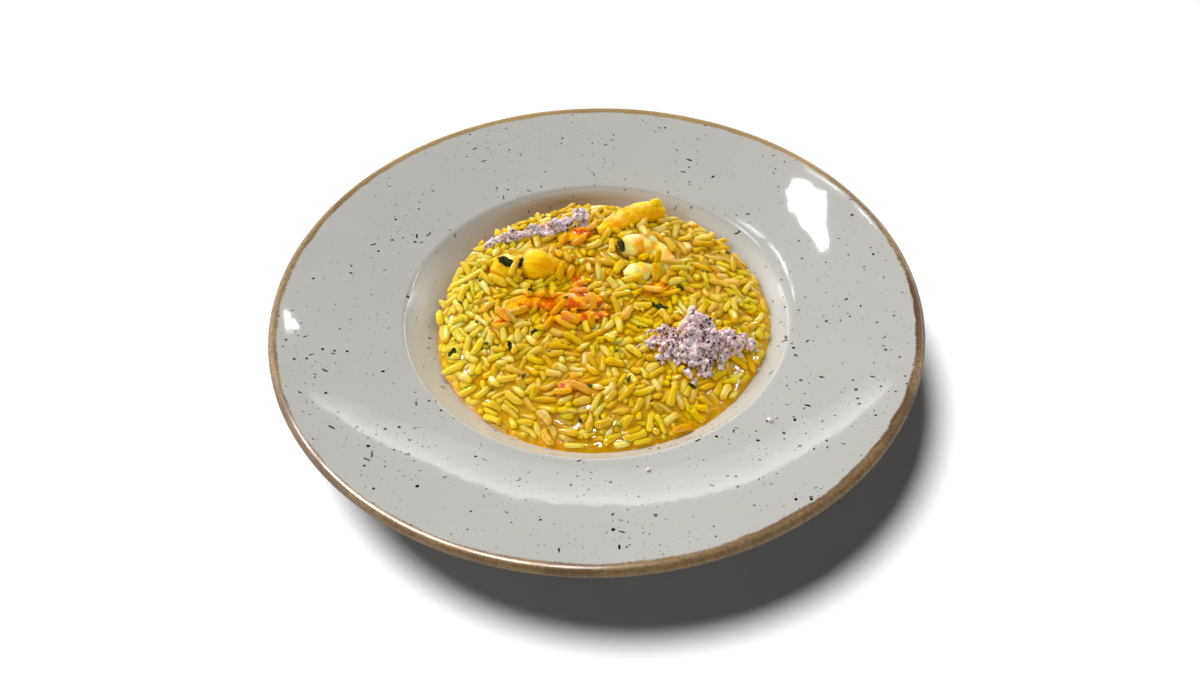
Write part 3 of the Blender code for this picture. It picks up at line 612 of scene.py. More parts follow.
def spots(look, flat, crowd, cell, largest, share):
    """Spots of many sizes: one in a share of the cells, none in the others."""
    inputs = {"Vector": flat, "Scale": 1.0 / (cell * MM)}
    cells = look.add("ShaderNodeTexVoronoi", inputs, voronoi_dimensions="2D").outputs
    lots = look.add("ShaderNodeSeparateColor", {"Color": cells["Color"]}).outputs
    size = look.spread(lots["Red"], 1.0 - share, 1.0, 0.0, largest / cell, smooth=False)
    inner = look.math("SUBTRACT", look.times(size, crowd), cells["Distance"])
    cover = look.spread(inner, -0.02 / cell, 0.10 / cell)
    return look.times(cover, look.spread(lots["Green"], 0.0, 0.8, 0.75, 1.0))


def speck_cover(look, y):
    """Where iron specks cover the glaze: dots, and dashes that lie in three directions."""
    flat = look.vector("MULTIPLY", look.place, (1.0, 1.0, 0.0))
    crowd = look.spread(look.noise(30.0, 1.0, vector=flat), 0.36, 0.60, 0.35, 1.0)
    crowd = look.times(crowd, look.spread(y, 90.0 * MM, -50.0 * MM, 0.88, 1.0))
    shake = look.vector("SUBTRACT", look.noise(1.5, 1.0, vector=flat, output="Color"), (0.5, 0.5, 0.5))
    where = look.vector("ADD", flat, look.vector("MULTIPLY", shake, (MM, MM, MM)))
    cover = look.greater(spots(look, where, crowd, *SPECK_DOTS), spots(look, where, crowd, *SPECK_PEPPER))
    for turn, cell in SPECK_DASHES:
        inputs = {"Vector": where, "Angle": turn}
        turned = look.add("ShaderNodeVectorRotate", inputs, rotation_type="Z_AXIS").outputs["Vector"]
        stretched = look.vector("MULTIPLY", turned, (DASH_STRETCH, 1.0, 1.0))
        cover = look.greater(cover, spots(look, stretched, crowd, cell, 0.58, 0.36))
    return cover


def lip_run(profile):
    """How far each point of the outline lies past the start of the lip's brown band, along the surface."""
    steps = [math.dist(a, b) for a, b in zip(profile, profile[1:])]
    run = np.concatenate([[0.0], np.cumsum(steps)])
    start = next(k for k, point in enumerate(profile) if point[0] > BAND_RADIUS)
    return run - run[start] + profile[start][0] - BAND_RADIUS


def build_bowl(material):
    """The turned bowl, its rim a little uneven, as thrown stoneware is."""
    profile = bowl_profile()
    run = lip_run(profile)[:, None]
    floor, *turned, hollow = profile
    radius, height = np.array(turned).T[:, :, None]
    angles = circle(BOWL_SEGMENTS)
    x = radius * np.cos(angles)
    y = radius * np.sin(angles)
    outward = (radius - WELL_EDGE_RADIUS) / (BOWL_RADIUS - WELL_EDGE_RADIUS)
    lift = RIM_WAVE * outward * smooth_noise(x / 38.0, y / 38.0, 5.0)
    lift += RIM_RIPPLE * smooth_noise(x / 11.0, y / 11.0, 8.0)
    z = height + np.where(outward > 0.0, lift, 0.0)
    corners = np.vstack([np.stack([x, y, z], 2).reshape(-1, 3), (0.0, 0.0, floor[1]), (0.0, 0.0, hollow[1])])

    above = np.where(run[1:-1] < 0.0, 1.0, 0.0)
    # Painted shade: the back of the well's inside is painted darker and yellower near the heap, as shade
    # tinted by light that the rice throws back.
    behind = 0.03 + 0.97 * np.maximum(np.sin(angles - 0.1), 0.0) ** 4
    # Painted light: the well's inside is painted whiter, most at the front and left, least at the back and
    # right.
    facing = 0.7 - 0.3 * np.sin(angles + 0.3) - 0.3 * np.maximum(np.cos(angles + 0.6), 0.0)
    wander = BAND_SHIFT * np.cos(angles + 0.5) + BAND_SPREAD * np.sqrt(np.maximum(np.cos(angles - 2.1), 0.0))
    attributes = {
        "painted_back_shade": np.append(above * smoothstep(radius, 84.8, 79.0) * behind, [1.0, 0.0]),
        "painted_well_light": np.append(above * smoothstep(radius, 84.6, 82.6) * facing, [1.0, 0.0]),
        "inside": np.append(above * smoothstep(radius, 83.4, 81.0) + 0.0 * angles, [1.0, 0.0]),
        "lip_run": np.append(run[1:-1] + wander, [run[0], run[-1]]),
    }
    faces = [face[::-1] for face in tube_faces(len(turned), BOWL_SEGMENTS)]
    bowl = mesh_piece("bowl_glazed", corners, faces, material, attributes, math.radians(60.0))
    return dress(bowl, "glaze", "bowl")


def glaze_material():
    """Off-white glaze with dark specks, which thins to an iron-brown band over the lip."""
    look = Look("speckled_glaze")
    x, y, _ = look.add("ShaderNodeSeparateXYZ", {"Vector": look.place}).outputs
    body = look.paint(
        (178, 177, 172),
        (look.noise(45.0, 3.0), 186, 185, 180),
        # painted light on the well's inside
        (look.times(look.value("painted_well_light"), WELL_PAINTED_LIGHT), 205, 204, 200),
        # painted shade, tinted by light off the rice, on the back of the well
        (look.times(look.value("painted_back_shade"), 0.95), 142, 108, 40),
        (speck_cover(look, y), 28, 27, 28),
    )

    around = look.times(look.math("ARCTAN2", y, x), BOWL_RADIUS * MM)
    run = look.times(look.value("lip_run"), MM)
    rubbed = look.add("ShaderNodeCombineXYZ", {"X": around, "Y": look.times(run, 0.22)}).outputs[0]
    streak = look.noise(0.55, 3.0, 0.65, rubbed)
    edge = run
    for ragged, reach in ((streak, 1.8), (look.noise(9.0, 3.0, 0.6), 2.4)):
        edge = look.plus(edge, look.times(look.math("SUBTRACT", ragged, 0.5), reach * MM))
    lower_end = look.spread(edge, (BAND_WIDTH + 0.6) * MM, BAND_WIDTH * MM)
    band = look.times(look.spread(edge, -0.3 * MM, 0.7 * MM), lower_end)
    region = look.noise(52.0, 2.0)
    mottle = look.noise(1.6, 4.0, 0.65)
    rust = look.times(look.spread(edge, 2.4 * MM, 0.8 * MM), look.spread(region, 0.60, 0.44))
    iron = look.paint(
        (112, 84, 52),
        (look.spread(region, 0.42, 0.52), 152, 126, 82),
        (look.spread(mottle, 0.40, 0.66, 0.0, 0.7), 92, 66, 46),
        (look.times(rust, 0.9), 88, 52, 42),
        (look.spread(streak, 0.52, 0.72, 0.0, 0.4), 66, 46, 36),
        (look.spread(streak, 0.44, 0.30, 0.0, 0.3), 190, 168, 130),
        # Painted shade: the band is darker on the lip's underside, past 4.5 mm along it.
        (look.spread(run, 4.5 * MM, 7.5 * MM, 0.0, 0.75), 84, 66, 42),
        # Lighter gold towards the back: partly the band's own colour, partly a painted highlight in place of
        # a light line along the lip. Darker towards the front.
        (look.spread(y, 20.0 * MM, 110.0 * MM, 0.0, 0.65), 176, 148, 92),
        (look.spread(y, -20.0 * MM, -110.0 * MM, 0.0, 0.4), 104, 80, 44),
    )

    height = look.plus(look.times(look.noise(5.0), 0.3), look.times(look.times(mottle, band), 0.7))
    under = look.spread(run, 3.0 * MM, 5.0 * MM)
    dull = look.greater(under, look.times(look.value("inside"), 0.3))
    rough = look.greater(dull, look.times(band, 0.45))
    look.set(
        base_color=look.mix(band, body, iron),
        roughness=look.spread(rough, 0.0, 1.0, 0.06, 0.7, smooth=False),
        normal=look.bump(height, 0.14, 0.6),
        coat_weight=look.spread(dull, 0.0, 0.3, 0.35, 0.05, smooth=False),
        coat_roughness=0.03,
    )
    return look.material


# ---- rice ----

class GrainBed:
    """Rods with round ends that settle on the heap under their own weight."""

    def __init__(self, obstacles):
        self.draw = np.random.default_rng(SEED)
        self.obstacles = obstacles
        self.everyone = k = np.arange(GRAIN_COUNT)
        share = np.sqrt((k + 0.5) / GRAIN_COUNT)
        angle = GOLDEN_ANGLE * k
        outline = heap_outline(angle) * 0.965
        x = HEAP_CENTRE[0] + share * outline * np.cos(angle) + self.each(-1.0, 1.0)
        y = HEAP_CENTRE[1] + share * outline * np.sin(angle) + self.each(-1.0, 1.0)
        z = CORE.at(x, y) + np.array(GRAIN_LAYERS)[k % 3] + self.each(-0.6, 0.6)
        self.centre = np.stack([x, y, z], 1)
        yaw = self.each(0.0, 2.0 * math.pi)
        tilt = self.each(-GRAIN_TILT, GRAIN_TILT)
        self.axis = np.stack([np.cos(yaw) * np.cos(tilt), np.sin(yaw) * np.cos(tilt), np.sin(tilt)], 1)
        self.radius = self.each(*GRAIN_RADIUS)
        broken = np.where(self.draw.random(GRAIN_COUNT) < GRAIN_BROKEN_SHARE, self.each(0.6, 0.85), 1.0)
        self.length = self.each(*GRAIN_LENGTH) * broken
        self.half = self.length / 2.0 - self.radius
        self.spin = self.half ** 2 / 3.0 + self.radius ** 2 / 2.0

    def each(self, low, high):
        """A random number for every grain."""
        return self.draw.uniform(low, high, len(self.everyone))

    def neighbours(self):
        """Pairs of grains that are near enough to touch."""
        tree = KDTree(GRAIN_COUNT)
        for k, centre in enumerate(self.centre):
            tree.insert(centre, k)
        tree.balance()
        reach = GRAIN_LENGTH[1] + 1.5
        pairs = [
            (k, other)
            for k, centre in enumerate(self.centre)
            for _, other, _ in tree.find_range(centre, reach)
            if other > k
        ]
        return np.array(pairs).T

    def start_round(self):
        self.moved = np.zeros_like(self.centre)
        self.turned = np.zeros_like(self.axis)
        self.count = np.zeros(GRAIN_COUNT)

    def push(self, who, along, way):
        """Move the point at a distance along each grain's axis by way."""
        ease = 1.0 / (1.0 + along ** 2 / self.spin[who])
        step = way * ease[:, None]
        np.add.at(self.moved, who, step)
        np.add.at(self.turned, who, step * (along / self.spin[who])[:, None])
        np.add.at(self.count, who, 1.0)

    def end_round(self, firmness=1.3):
        share = firmness / np.maximum(self.count, 1.0)
        self.centre += self.moved * share[:, None]
        self.axis = unit(self.axis + self.turned * share[:, None])

    def part_grains(self):
        a, b = self.pairs
        between = self.centre[a] - self.centre[b]
        lean = (self.axis[a] * self.axis[b]).sum(1)
        da = (self.axis[a] * between).sum(1)
        db = (self.axis[b] * between).sum(1)
        s = np.clip((lean * db - da) / np.maximum(1.0 - lean ** 2, 0.02), -self.half[a], self.half[a])
        t = np.clip(lean * s + db, -self.half[b], self.half[b])
        s = np.clip(lean * t - da, -self.half[a], self.half[a])
        gap = between + self.axis[a] * s[:, None] - self.axis[b] * t[:, None]
        distance = np.maximum(np.linalg.norm(gap, axis=1), 1e-6)
        overlap = (self.radius[a] + self.radius[b]) * GRAIN_SOFTNESS - distance
        hit = overlap > 0.0
        way = gap[hit] * (0.5 * overlap[hit] / distance[hit])[:, None]
        self.push(a[hit], s[hit], way)
        self.push(b[hit], t[hit], -way)

    def stay_in_bowl(self):
        for end in (-1.0, 0.0, 1.0):
            along = self.half * end
            point = self.centre + self.axis * along[:, None]
            depth = CORE.at(point[:, 0], point[:, 1]) - BED_DEPTH + self.radius - point[:, 2]
            low = depth > 0.0
            way = np.zeros_like(point)
            way[:, 2] = depth
            self.push(self.everyone[low], along[low], way[low])
            radius = np.hypot(point[:, 0], point[:, 1])
            slope = well_slope(radius)
            room = (point[:, 2] - well_height(radius)) * np.cos(slope) - self.radius - GAP - 0.2
            tight = room < 0.0
            inward = -np.sin(slope) / np.maximum(radius, 1.0)
            way = np.stack([point[:, 0] * inward, point[:, 1] * inward, np.cos(slope)], 1) * -room[:, None]
            self.push(self.everyone[tight], along[tight], way[tight])

    def clear_obstacles(self):
        for obstacle in self.obstacles:
            between = self.centre - np.array(obstacle[:3])
            along = np.clip(-(self.axis * between).sum(1), -self.half, self.half)
            gap = between + self.axis * along[:, None]
            distance = np.maximum(np.linalg.norm(gap, axis=1), 1e-6)
            overlap = obstacle[3] + self.radius * 0.9 - distance
            hit = overlap > 0.0
            way = gap[hit] * (overlap[hit] / distance[hit])[:, None]
            self.push(self.everyone[hit], along[hit], way)

    def settle(self):
        """Let the grains fall a little at a time, and push apart what overlaps."""
        for turn in range(SETTLE_ROUNDS):
            if turn % 8 == 0:
                self.pairs = self.neighbours()
            self.centre[:, 2] -= SETTLE_FALL * (1.0 - 0.8 * turn / SETTLE_ROUNDS)
            for solve in (self.part_grains, self.stay_in_bowl, self.clear_obstacles):
                self.start_round()
                solve()
                self.end_round()
        lean, lift = GRAIN_RESTLESS
        self.axis[:, 2] += self.each(-lean, lean)
        self.axis = unit(self.axis)
        self.centre[:, 2] += self.each(0.0, 2.0 * lift)
        return self

    def keep(self, kept):
        """Drop the other grains."""
        for key in ("everyone", "centre", "axis", "radius", "length", "half"):
            setattr(self, key, getattr(self, key)[kept])


def tomato_stain(x, y):
    """How much the tomato's juice colours each place, from 0 to 1."""
    nearest = np.full(np.shape(x), 99.0)
    for points in TOMATO_PIECES.values():
        centres, radii = topping_line(points, 3 * len(points))
        for (cx, cy, _), radius in zip(centres, radii):
            nearest = np.minimum(nearest, np.hypot(x - cx, y - cy) - radius)
    patches = smoothstep(smooth_noise(x / 13.0, y / 13.0, 40.0), 0.18, 0.45)
    return np.maximum(np.exp(-np.maximum(nearest, 0.0) / 1.8), 0.25 * patches)


def scaled(vectors, amounts):
    """Each vector times each of its row of amounts."""
    return vectors[:, None] * amounts[..., None]


def build_rice(bed, surface, material):
    """Every grain as a plump, slightly bent rod with blunt ends, all in one mesh."""
    count = len(bed.centre)
    t = -np.cos(np.linspace(0.0, math.pi, GRAIN_RINGS + 2))[1:-1]
    angle = circle(GRAIN_SIDES)
    side = unit(np.cross(bed.axis, (0.0, 0.0, 1.0)))
    roll = bed.each(-0.6, 0.6)[:, None]
    upward = np.cross(side, bed.axis)
    side, upward = side * np.cos(roll) + upward * np.sin(roll), upward * np.cos(roll) - side * np.sin(roll)
    bend = bed.each(-GRAIN_BEND, GRAIN_BEND)[:, None]
    taper = bed.each(-0.16, 0.16)[:, None]
    fullness = bed.each(4.2, 7.5)[:, None]
    phase = bed.each(0.0, 6.0)[:, None]

    girth = (1.0 - np.abs(t) ** fullness) ** 0.52 * (1.0 + taper * t) * (1.0 + 0.06 * np.sin(4.0 * t + phase))
    ring = girth * bed.radius[:, None]
    length = bed.length[:, None]
    line = bed.centre[:, None] + scaled(bed.axis, t * length / 2.0) + scaled(side, bend * (0.5 - t ** 2))
    around = scaled(side, np.cos(angle)[None]) + scaled(upward, GRAIN_FLATNESS * np.sin(angle)[None])
    dent = 1.0 + 0.05 * np.sin(2.0 * angle + phase[..., None] + 2.0 * t[:, None])
    rings = line[:, :, None] + around[:, None] * (ring[:, :, None] * dent)[..., None]
    tips = [bed.centre + bed.axis * (end * length / 2.0) - side * (bend * 0.5) for end in (-1.0, 1.0)]
    corners = np.concatenate([rings.reshape(count, -1, 3), np.stack(tips, 1)], 1)
    corners += lumps(corners, GRAIN_LUMPS, GRAIN_LUMP_SIZE)
    per_grain = corners.shape[1]
    corners = corners.reshape(-1, 3)
    faces = []
    for k in range(count):
        faces += tube_faces(GRAIN_RINGS, GRAIN_SIDES, k * per_grain)
    x, y, z = corners.T
    attributes = {
        "tone": np.repeat(bed.each(0.0, 1.0), per_grain),
        "pale": np.repeat(bed.each(0.0, 1.0), per_grain),
        "stain": np.repeat(tomato_stain(bed.centre[:, 0], bed.centre[:, 1]), per_grain),
        "reach": np.tile(np.abs([*np.repeat(t, GRAIN_SIDES), -1.0, 1.0]), count),
        # how far each part of a grain has sunk to the sauce's surface, for painted shade
        "sunk_shade": smoothstep(z - surface.at(x, y), 1.1, 0.0),
    }
    return dress(mesh_piece("rice_grains", corners, faces, material, attributes), "rice", "risotto")


def rice_material():
    """Cooked rice stained by saffron: wet, translucent, some grains paler and some more golden."""
    look = Look("saffron_rice")
    blotch = look.noise(2.4, 3.0)
    x = look.add("ShaderNodeSeparateXYZ", {"Vector": look.place}).outputs["X"]
    chalk = look.times(look.spread(look.value("pale"), 0.6, 1.0), look.spread(look.value("reach"), 0.95, 0.3))
    colour = look.paint(
        (218, 188, 12),
        (look.value("tone"), 200, 154, 3),
        (look.spread(look.noise(26.0), 0.38, 0.62, 0.0, 0.6), 214, 168, 4),
        # paler and yellower towards the left of the heap
        (look.spread(x, -15.0 * MM, -60.0 * MM, 0.0, 0.5), 234, 208, 44),
        (look.times(chalk, look.spread(blotch, 0.35, 0.6, 0.4, 0.9)), 232, 214, 108),
        # darker amber low on the grains: partly the sauce that coats them, partly painted shade in the depths
        # between grains
        (look.times(look.value("sunk_shade"), 0.7), 206, 136, 3),
        (look.times(look.value("stain"), look.spread(blotch, 0.3, 0.6, 0.35, 0.8)), 238, 134, 14),
    )
    look.set(
        base_color=colour,
        roughness=0.34,
        subsurface_weight=0.9,
        subsurface_radius=(1.0, 0.6, 0.12),
        subsurface_scale=3.8 * MM,
        specular_ior_level=0.0,
        coat_weight=1.0,
        coat_roughness=0.04,
        normal=look.bump(look.noise(0.9, 3.0), 0.6, 0.16),
        coat_normal=look.bump(look.noise(1.3, 3.0, 0.6), 0.9, 0.3),
    )
    return look.material


# ---- sauce ----

def grain_windows(bed, grid):
    """For each grain: the part of the grid near it, the grain's height there, and the distance outside it."""
    for centre, axis, half, radius in zip(bed.centre, bed.axis, bed.half, bed.radius):
        reach = half + radius + 2.4
        i0, i1 = ((centre[0] + np.array([-reach, reach]) + grid.reach) / grid.step).astype(int)
        j0, j1 = ((centre[1] + np.array([-reach, reach]) + grid.reach) / grid.step).astype(int)
        window = (slice(max(i0, 0), i1 + 2), slice(max(j0, 0), j1 + 2))
        dx = grid.x[window] - centre[0]
        dy = grid.y[window] - centre[1]
        level = math.hypot(axis[0], axis[1])
        along = np.clip((dx * axis[0] + dy * axis[1]) / max(level ** 2, 0.05), -half, half)
        off = np.hypot(dx - axis[0] * along, dy - axis[1] * along)
        dome = np.sqrt(np.maximum(radius ** 2 - off ** 2, 0.0)) * GRAIN_FLATNESS
        top = np.where(off < radius, centre[2] + axis[2] * along + dome, -99.0)
        yield window, top, np.maximum(off - radius, 0.0)


def grain_raster(bed):
    """For each spot over the heap: the highest grain top there, and the distance to the nearest grain."""
    tops = HeightMap(RASTER_STEP)
    tops.values = np.full_like(tops.x, -99.0)
    gaps = HeightMap(RASTER_STEP)
    gaps.values = np.full_like(gaps.x, 9.0)
    for window, top, gap in grain_windows(bed, tops):
        tops.values[window] = np.maximum(tops.values[window], top)
        gaps.values[window] = np.minimum(gaps.values[window], gap)
    return tops, gaps


def seen_grains(bed, tops, surface):
    """Which grains stand out of the sauce and lie on top, or not far under it."""
    hidden_depth = 1.3
    least_spots = 4
    seen = []
    for window, top, _ in grain_windows(bed, tops):
        clear = (top > tops.values[window] - hidden_depth) & (top > surface.values[window] - 0.1)
        seen.append(np.count_nonzero(clear) >= least_spots)
    return np.array(seen)


def blur(values, rounds):
    for _ in range(rounds):
        values = (values + np.roll(values, 1, 0) + np.roll(values, -1, 0)) / 3.0
        values = (values + np.roll(values, 1, 1) + np.roll(values, -1, 1)) / 3.0
    return values


def sauce_heights(tops, gaps):
    """The sauce's surface: it climbs the grains that stand out of it and coats those just under it."""
    x, y = tops.x, tops.y
    core = CORE.at(x, y)
    crest = blur(np.where(tops.values > 0.0, tops.values, core - 1.0), 140)
    wet = smoothstep(y + 0.12 * np.abs(x), WET_FROM, WET_TO)
    pools = smooth_noise(x / 11.0, y / 11.0, 21.0)
    dx = x - HEAP_CENTRE[0]
    dy = y - HEAP_CENTRE[1]
    inside = 1.0 - np.hypot(dx, dy) / heap_outline(np.arctan2(dy, dx))
    stand = crest - core - blend(*GRAIN_RELIEF, wet) + 0.6 * pools
    level = core + stand * smoothstep(inside, 0.0, 0.1)
    climb = level + MENISCUS_RISE * np.exp(-gaps.values / MENISCUS_REACH)
    proud = tops.values > level + blend(*BARE_ABOVE, wet)
    coat = np.where(proud, climb, np.maximum(climb, tops.values + 0.08))
    surface = HeightMap(RASTER_STEP, blur(coat, 1))
    thickness = HeightMap(RASTER_STEP, blur(np.minimum(gaps.values, 2.0), 2))
    return surface, thickness


def build_sauce(surface, thickness, material):
    """A disc of even rings, each with six corners more than the last, whose edge meets the bowl's wall."""
    spots = [HEAP_CENTRE]
    faces = []
    inner = 0
    for ring in range(1, SAUCE_RINGS + 1):
        count = 6 * ring
        angles = circle(count)
        outline = (heap_outline(angles) + SAUCE_CREEP) * ring / SAUCE_RINGS
        start = len(spots)
        across = HEAP_CENTRE[0] + outline * np.cos(angles)
        spots += list(zip(across, HEAP_CENTRE[1] + outline * np.sin(angles)))
        inner_count = max(count - 6, 1)
        for k in range(count):
            side, step = divmod(k, ring)
            after = start + (k + 1) % count
            near, next_near = (inner + (side * (ring - 1) + step + j) % inner_count for j in (0, 1))
            faces.append((start + k, after, near))
            if step < ring - 1:
                faces.append((after, next_near, near))
        inner = start
    x, y = np.array(spots).T
    share = np.hypot(x - HEAP_CENTRE[0], y - HEAP_CENTRE[1]) / HEAP_RADIUS
    wall = well_height(np.hypot(x, y))
    z = np.maximum(surface.at(x, y), wall + 0.15 * np.maximum(1.0 - share, 0.0))
    z[inner:] = wall[inner:] - 0.05
    attributes = {"depth": thickness.at(x, y) * smoothstep(share, 1.02, 0.93), "stain": tomato_stain(x, y)}
    return dress(mesh_piece("saffron_sauce", np.stack([x, y, z], 1), faces, material, attributes), "rice")


def sauce_material():
    """Glossy saffron stock, bound with starch: amber where it is deep and yellow where it is thin."""
    look = Look("saffron_sauce")
    colour = look.paint(
        (204, 148, 6),
        (look.spread(look.value("depth"), 0.1, 1.4), 178, 108, 2),
        (look.spread(look.noise(4.0, 3.0), 0.45, 0.7, 0.0, 0.5), 212, 162, 12),
        (look.times(look.value("stain"), 0.6), 226, 110, 12),
    )
    look.set(
        base_color=colour,
        roughness=0.3,
        specular_ior_level=0.0,
        subsurface_weight=0.7,
        subsurface_radius=(1.0, 0.55, 0.12),
        subsurface_scale=3.0 * MM,
        coat_weight=1.0,
        coat_roughness=0.02,
        normal=look.bump(look.noise(1.5), 0.6, 0.25),
        coat_normal=look.bump(look.noise(2.0, 1.0), 0.8, 0.32),
    )
    return look.material


# ---- prawns and tomato ----

def topping_line(points, count, lift=0.0):
    """Centres and radii at even shares of a topping's curve."""
    rows = np.array([curve_point(points, share) for share in np.linspace(0.0, 1.0, count)])
    centres = np.stack([rows[:, 0], rows[:, 1], CORE.at(rows[:, 0], rows[:, 1]) + rows[:, 2] + lift], 1)
    return centres, rows[:, 3]


def swept_piece(name, points, rings, sides, section, material, lift=0.0, crease=None):
    """A body along a curve. section(share, angle) says how far its surface stands, as shares of radius."""
    centres, radii = topping_line(points, rings + 2, lift)
    ahead = unit(np.gradient(centres, axis=0))
    across = unit(np.cross(ahead, (0.0, 0.0, 1.0)))
    upward = np.cross(across, ahead)
    corners = []
    shares = []
    turns = []
    for k in range(1, rings + 1):
        share = k / (rings + 1)
        for angle in circle(sides):
            wide, high = section(share, angle)
            offset = across[k] * (wide * math.cos(angle)) + upward[k] * (high * math.sin(angle))
            corners.append(centres[k] + offset * radii[k])
            shares.append(share)
            turns.append(math.sin(angle))
    corners = np.array([*corners, centres[0], centres[-1]])
    corners += lumps(corners, FLESH_LUMPS, FLESH_LUMP_SIZE)
    shares += [0.0, 1.0]
    attributes = {"share": shares, "turn": [*turns, 0.0, 0.0]}
    if crease is not None:
        attributes["crease"] = [crease(share) for share in shares]
    return mesh_piece(name, corners, tube_faces(rings, sides), material, attributes)


def joint_depth(joints, share):
    """0 in the middle of a segment, rising to 1 in the creases between segments."""
    k = min(np.searchsorted(joints, share, side="right"), len(joints) - 1)
    run = (share - joints[k - 1]) / (joints[k] - joints[k - 1])
    return abs(2.0 * run - 1.0) ** 4


def prawn_section(joints, offset):
    """Segments with creases between them, and uneven flesh with furrows drawn out along the body."""
    first = joints[1] * 0.5
    last = 1.0 - (1.0 - joints[-2]) * 0.5

    def section(share, angle):
        bent = min(max(share + 0.02 * math.sin(angle + offset), 0.0), 1.0)
        inner = joint_depth(joints, bent) if first <= bent <= last else 0.0
        side = Vector((0.0, math.cos(angle), math.sin(angle)))
        lump = noise.noise(side * 1.1 + Vector((offset + share * 5.0, 0.0, 0.0)))
        furrow = noise.noise(side * 5.0 + Vector((offset + share * 3.0, 0.0, 0.0)))
        size = (1.05 - 0.12 * inner) * (1.0 + 0.16 * lump - 0.09 * abs(furrow))
        return size, size
    return section


def prawn_material(name, boldness, *pale):
    """Cooked prawn coated in saffron: pale flesh, orange at its creases and along its fibres."""
    look = Look(name)
    turn = look.times(look.value("turn"), 2.2)
    drawn = look.add("ShaderNodeCombineXYZ", {"X": look.value("share"), "Y": turn}).outputs[0]
    drawn = look.vector("MULTIPLY", drawn, (10.0 * MM, 10.0 * MM, 0.0))
    fibre = look.noise(1.6, 4.0, 0.6, drawn)
    rings = look.noise(1.8, 3.0, vector=look.vector("MULTIPLY", drawn, (6.0, 0.5, 0.0)))
    blotch = look.noise(8.0)
    crease = look.times(look.value("crease"), look.spread(blotch, 0.35, 0.6, 0.5, 0.9))
    colour = look.paint(
        pale,
        (look.spread(blotch, 0.42, 0.64), 255, 184, 2),
        (look.spread(fibre, 0.48, 0.7, 0.0, 0.55 * boldness), 248, 160, 6),
        (look.spread(rings, 0.5, 0.64, 0.0, 0.6 * boldness), 246, 148, 6),
        (crease, 250, 174, 12),
    )
    look.set(
        base_color=colour,
        roughness=0.32,
        specular_ior_level=0.0,
        subsurface_weight=0.9,
        subsurface_radius=(1.0, 0.6, 0.1),
        subsurface_scale=3.0 * MM,
        coat_weight=0.8,
        coat_roughness=0.04,
        normal=look.bump(look.plus(look.noise(0.9, 3.0), fibre), 0.8, 0.4),
        coat_normal=look.bump(look.noise(1.6, 3.0, 0.6), 0.9, 0.35),
    )
    return look.material


def build_prawns():
    golden = prawn_material("prawn_golden", 1.0, 255, 212, 18)
    creamy = prawn_material("prawn_creamy", 0.3, 254, 248, 140)
    looks = {"prawn_curled": creamy, "prawn_chunk": creamy}
    pieces = []
    for name, points in PRAWNS.items():
        joints = PRAWN_JOINTS[name]
        section = prawn_section(joints, 3.1 * len(name))
        prawn = swept_piece(
            name + "_flesh", points, PRAWN_RINGS, PRAWN_SIDES, section, looks.get(name, golden),
            crease=lambda share: joint_depth(joints, share),
        )
        pieces.append(dress(prawn, "prawn", name))
    section = prawn_section((0.0, 0.5, 1.0), 5.0)
    tip = swept_piece("prawn_back_tip", PRAWN_NUB, 20, 16, section, golden, crease=lambda share: 0.3)
    return [*pieces, dress(tip, "prawn")]


def tomato_material():
    """Skin and flesh of cooked tomato: orange where it is thin, red where it is folded, and wet."""
    look = Look("cooked_tomato")
    fine = look.noise(1.3, 3.0)
    look.set(
        base_color=look.paint((248, 172, 14), (look.spread(look.noise(4.0, 3.0), 0.36, 0.62), 190, 76, 2)),
        roughness=0.3,
        specular_ior_level=0.0,
        subsurface_weight=0.3,
        subsurface_radius=(1.0, 0.4, 0.06),
        subsurface_scale=1.2 * MM,
        coat_weight=0.5,
        coat_roughness=0.04,
        normal=look.bump(fine, 0.5, 0.3),
        coat_normal=look.bump(fine, 0.7, 0.3),
    )
    return look.material


def tomato_section(name):
    """A flattened ribbon with curled edges."""
    offset = len(name) * 1.7

    def section(share, angle):
        side = math.cos(angle)
        curl = noise_at(share * 7.0, side * 1.2 + offset)
        lump = noise_at(share * 16.0, side * 2.0 + offset, math.sin(angle) * 2.0)
        return 1.35 + 0.6 * curl + 0.15 * lump, TOMATO_FLATNESS * (0.9 + 0.5 * curl + 0.25 * lump)
    return section


def build_tomato():
    material = tomato_material()
    pieces = []
    for name, points in TOMATO_PIECES.items():
        rings = 10 * len(points)
        piece = swept_piece(name + "_flesh", points, rings, 20, tomato_section(name), material, TOMATO_LIFT)
        pieces.append(dress(piece, "tomato", name))
    return pieces


def topping_obstacles():
    """Spheres that keep the grains out of the prawns and, more loosely, out of the tomato."""
    spheres = []
    lines = [(topping_line(points, 12), 1.02) for points in PRAWNS.values()]
    lines += [(topping_line(points, 3 * len(points), TOMATO_LIFT), 0.8) for points in TOMATO_PIECES.values()]
    for (centres, radii), share in lines:
        spheres += [(*centre, radius * share) for centre, radius in zip(centres, radii)]
    return spheres


# ---- herbs ----

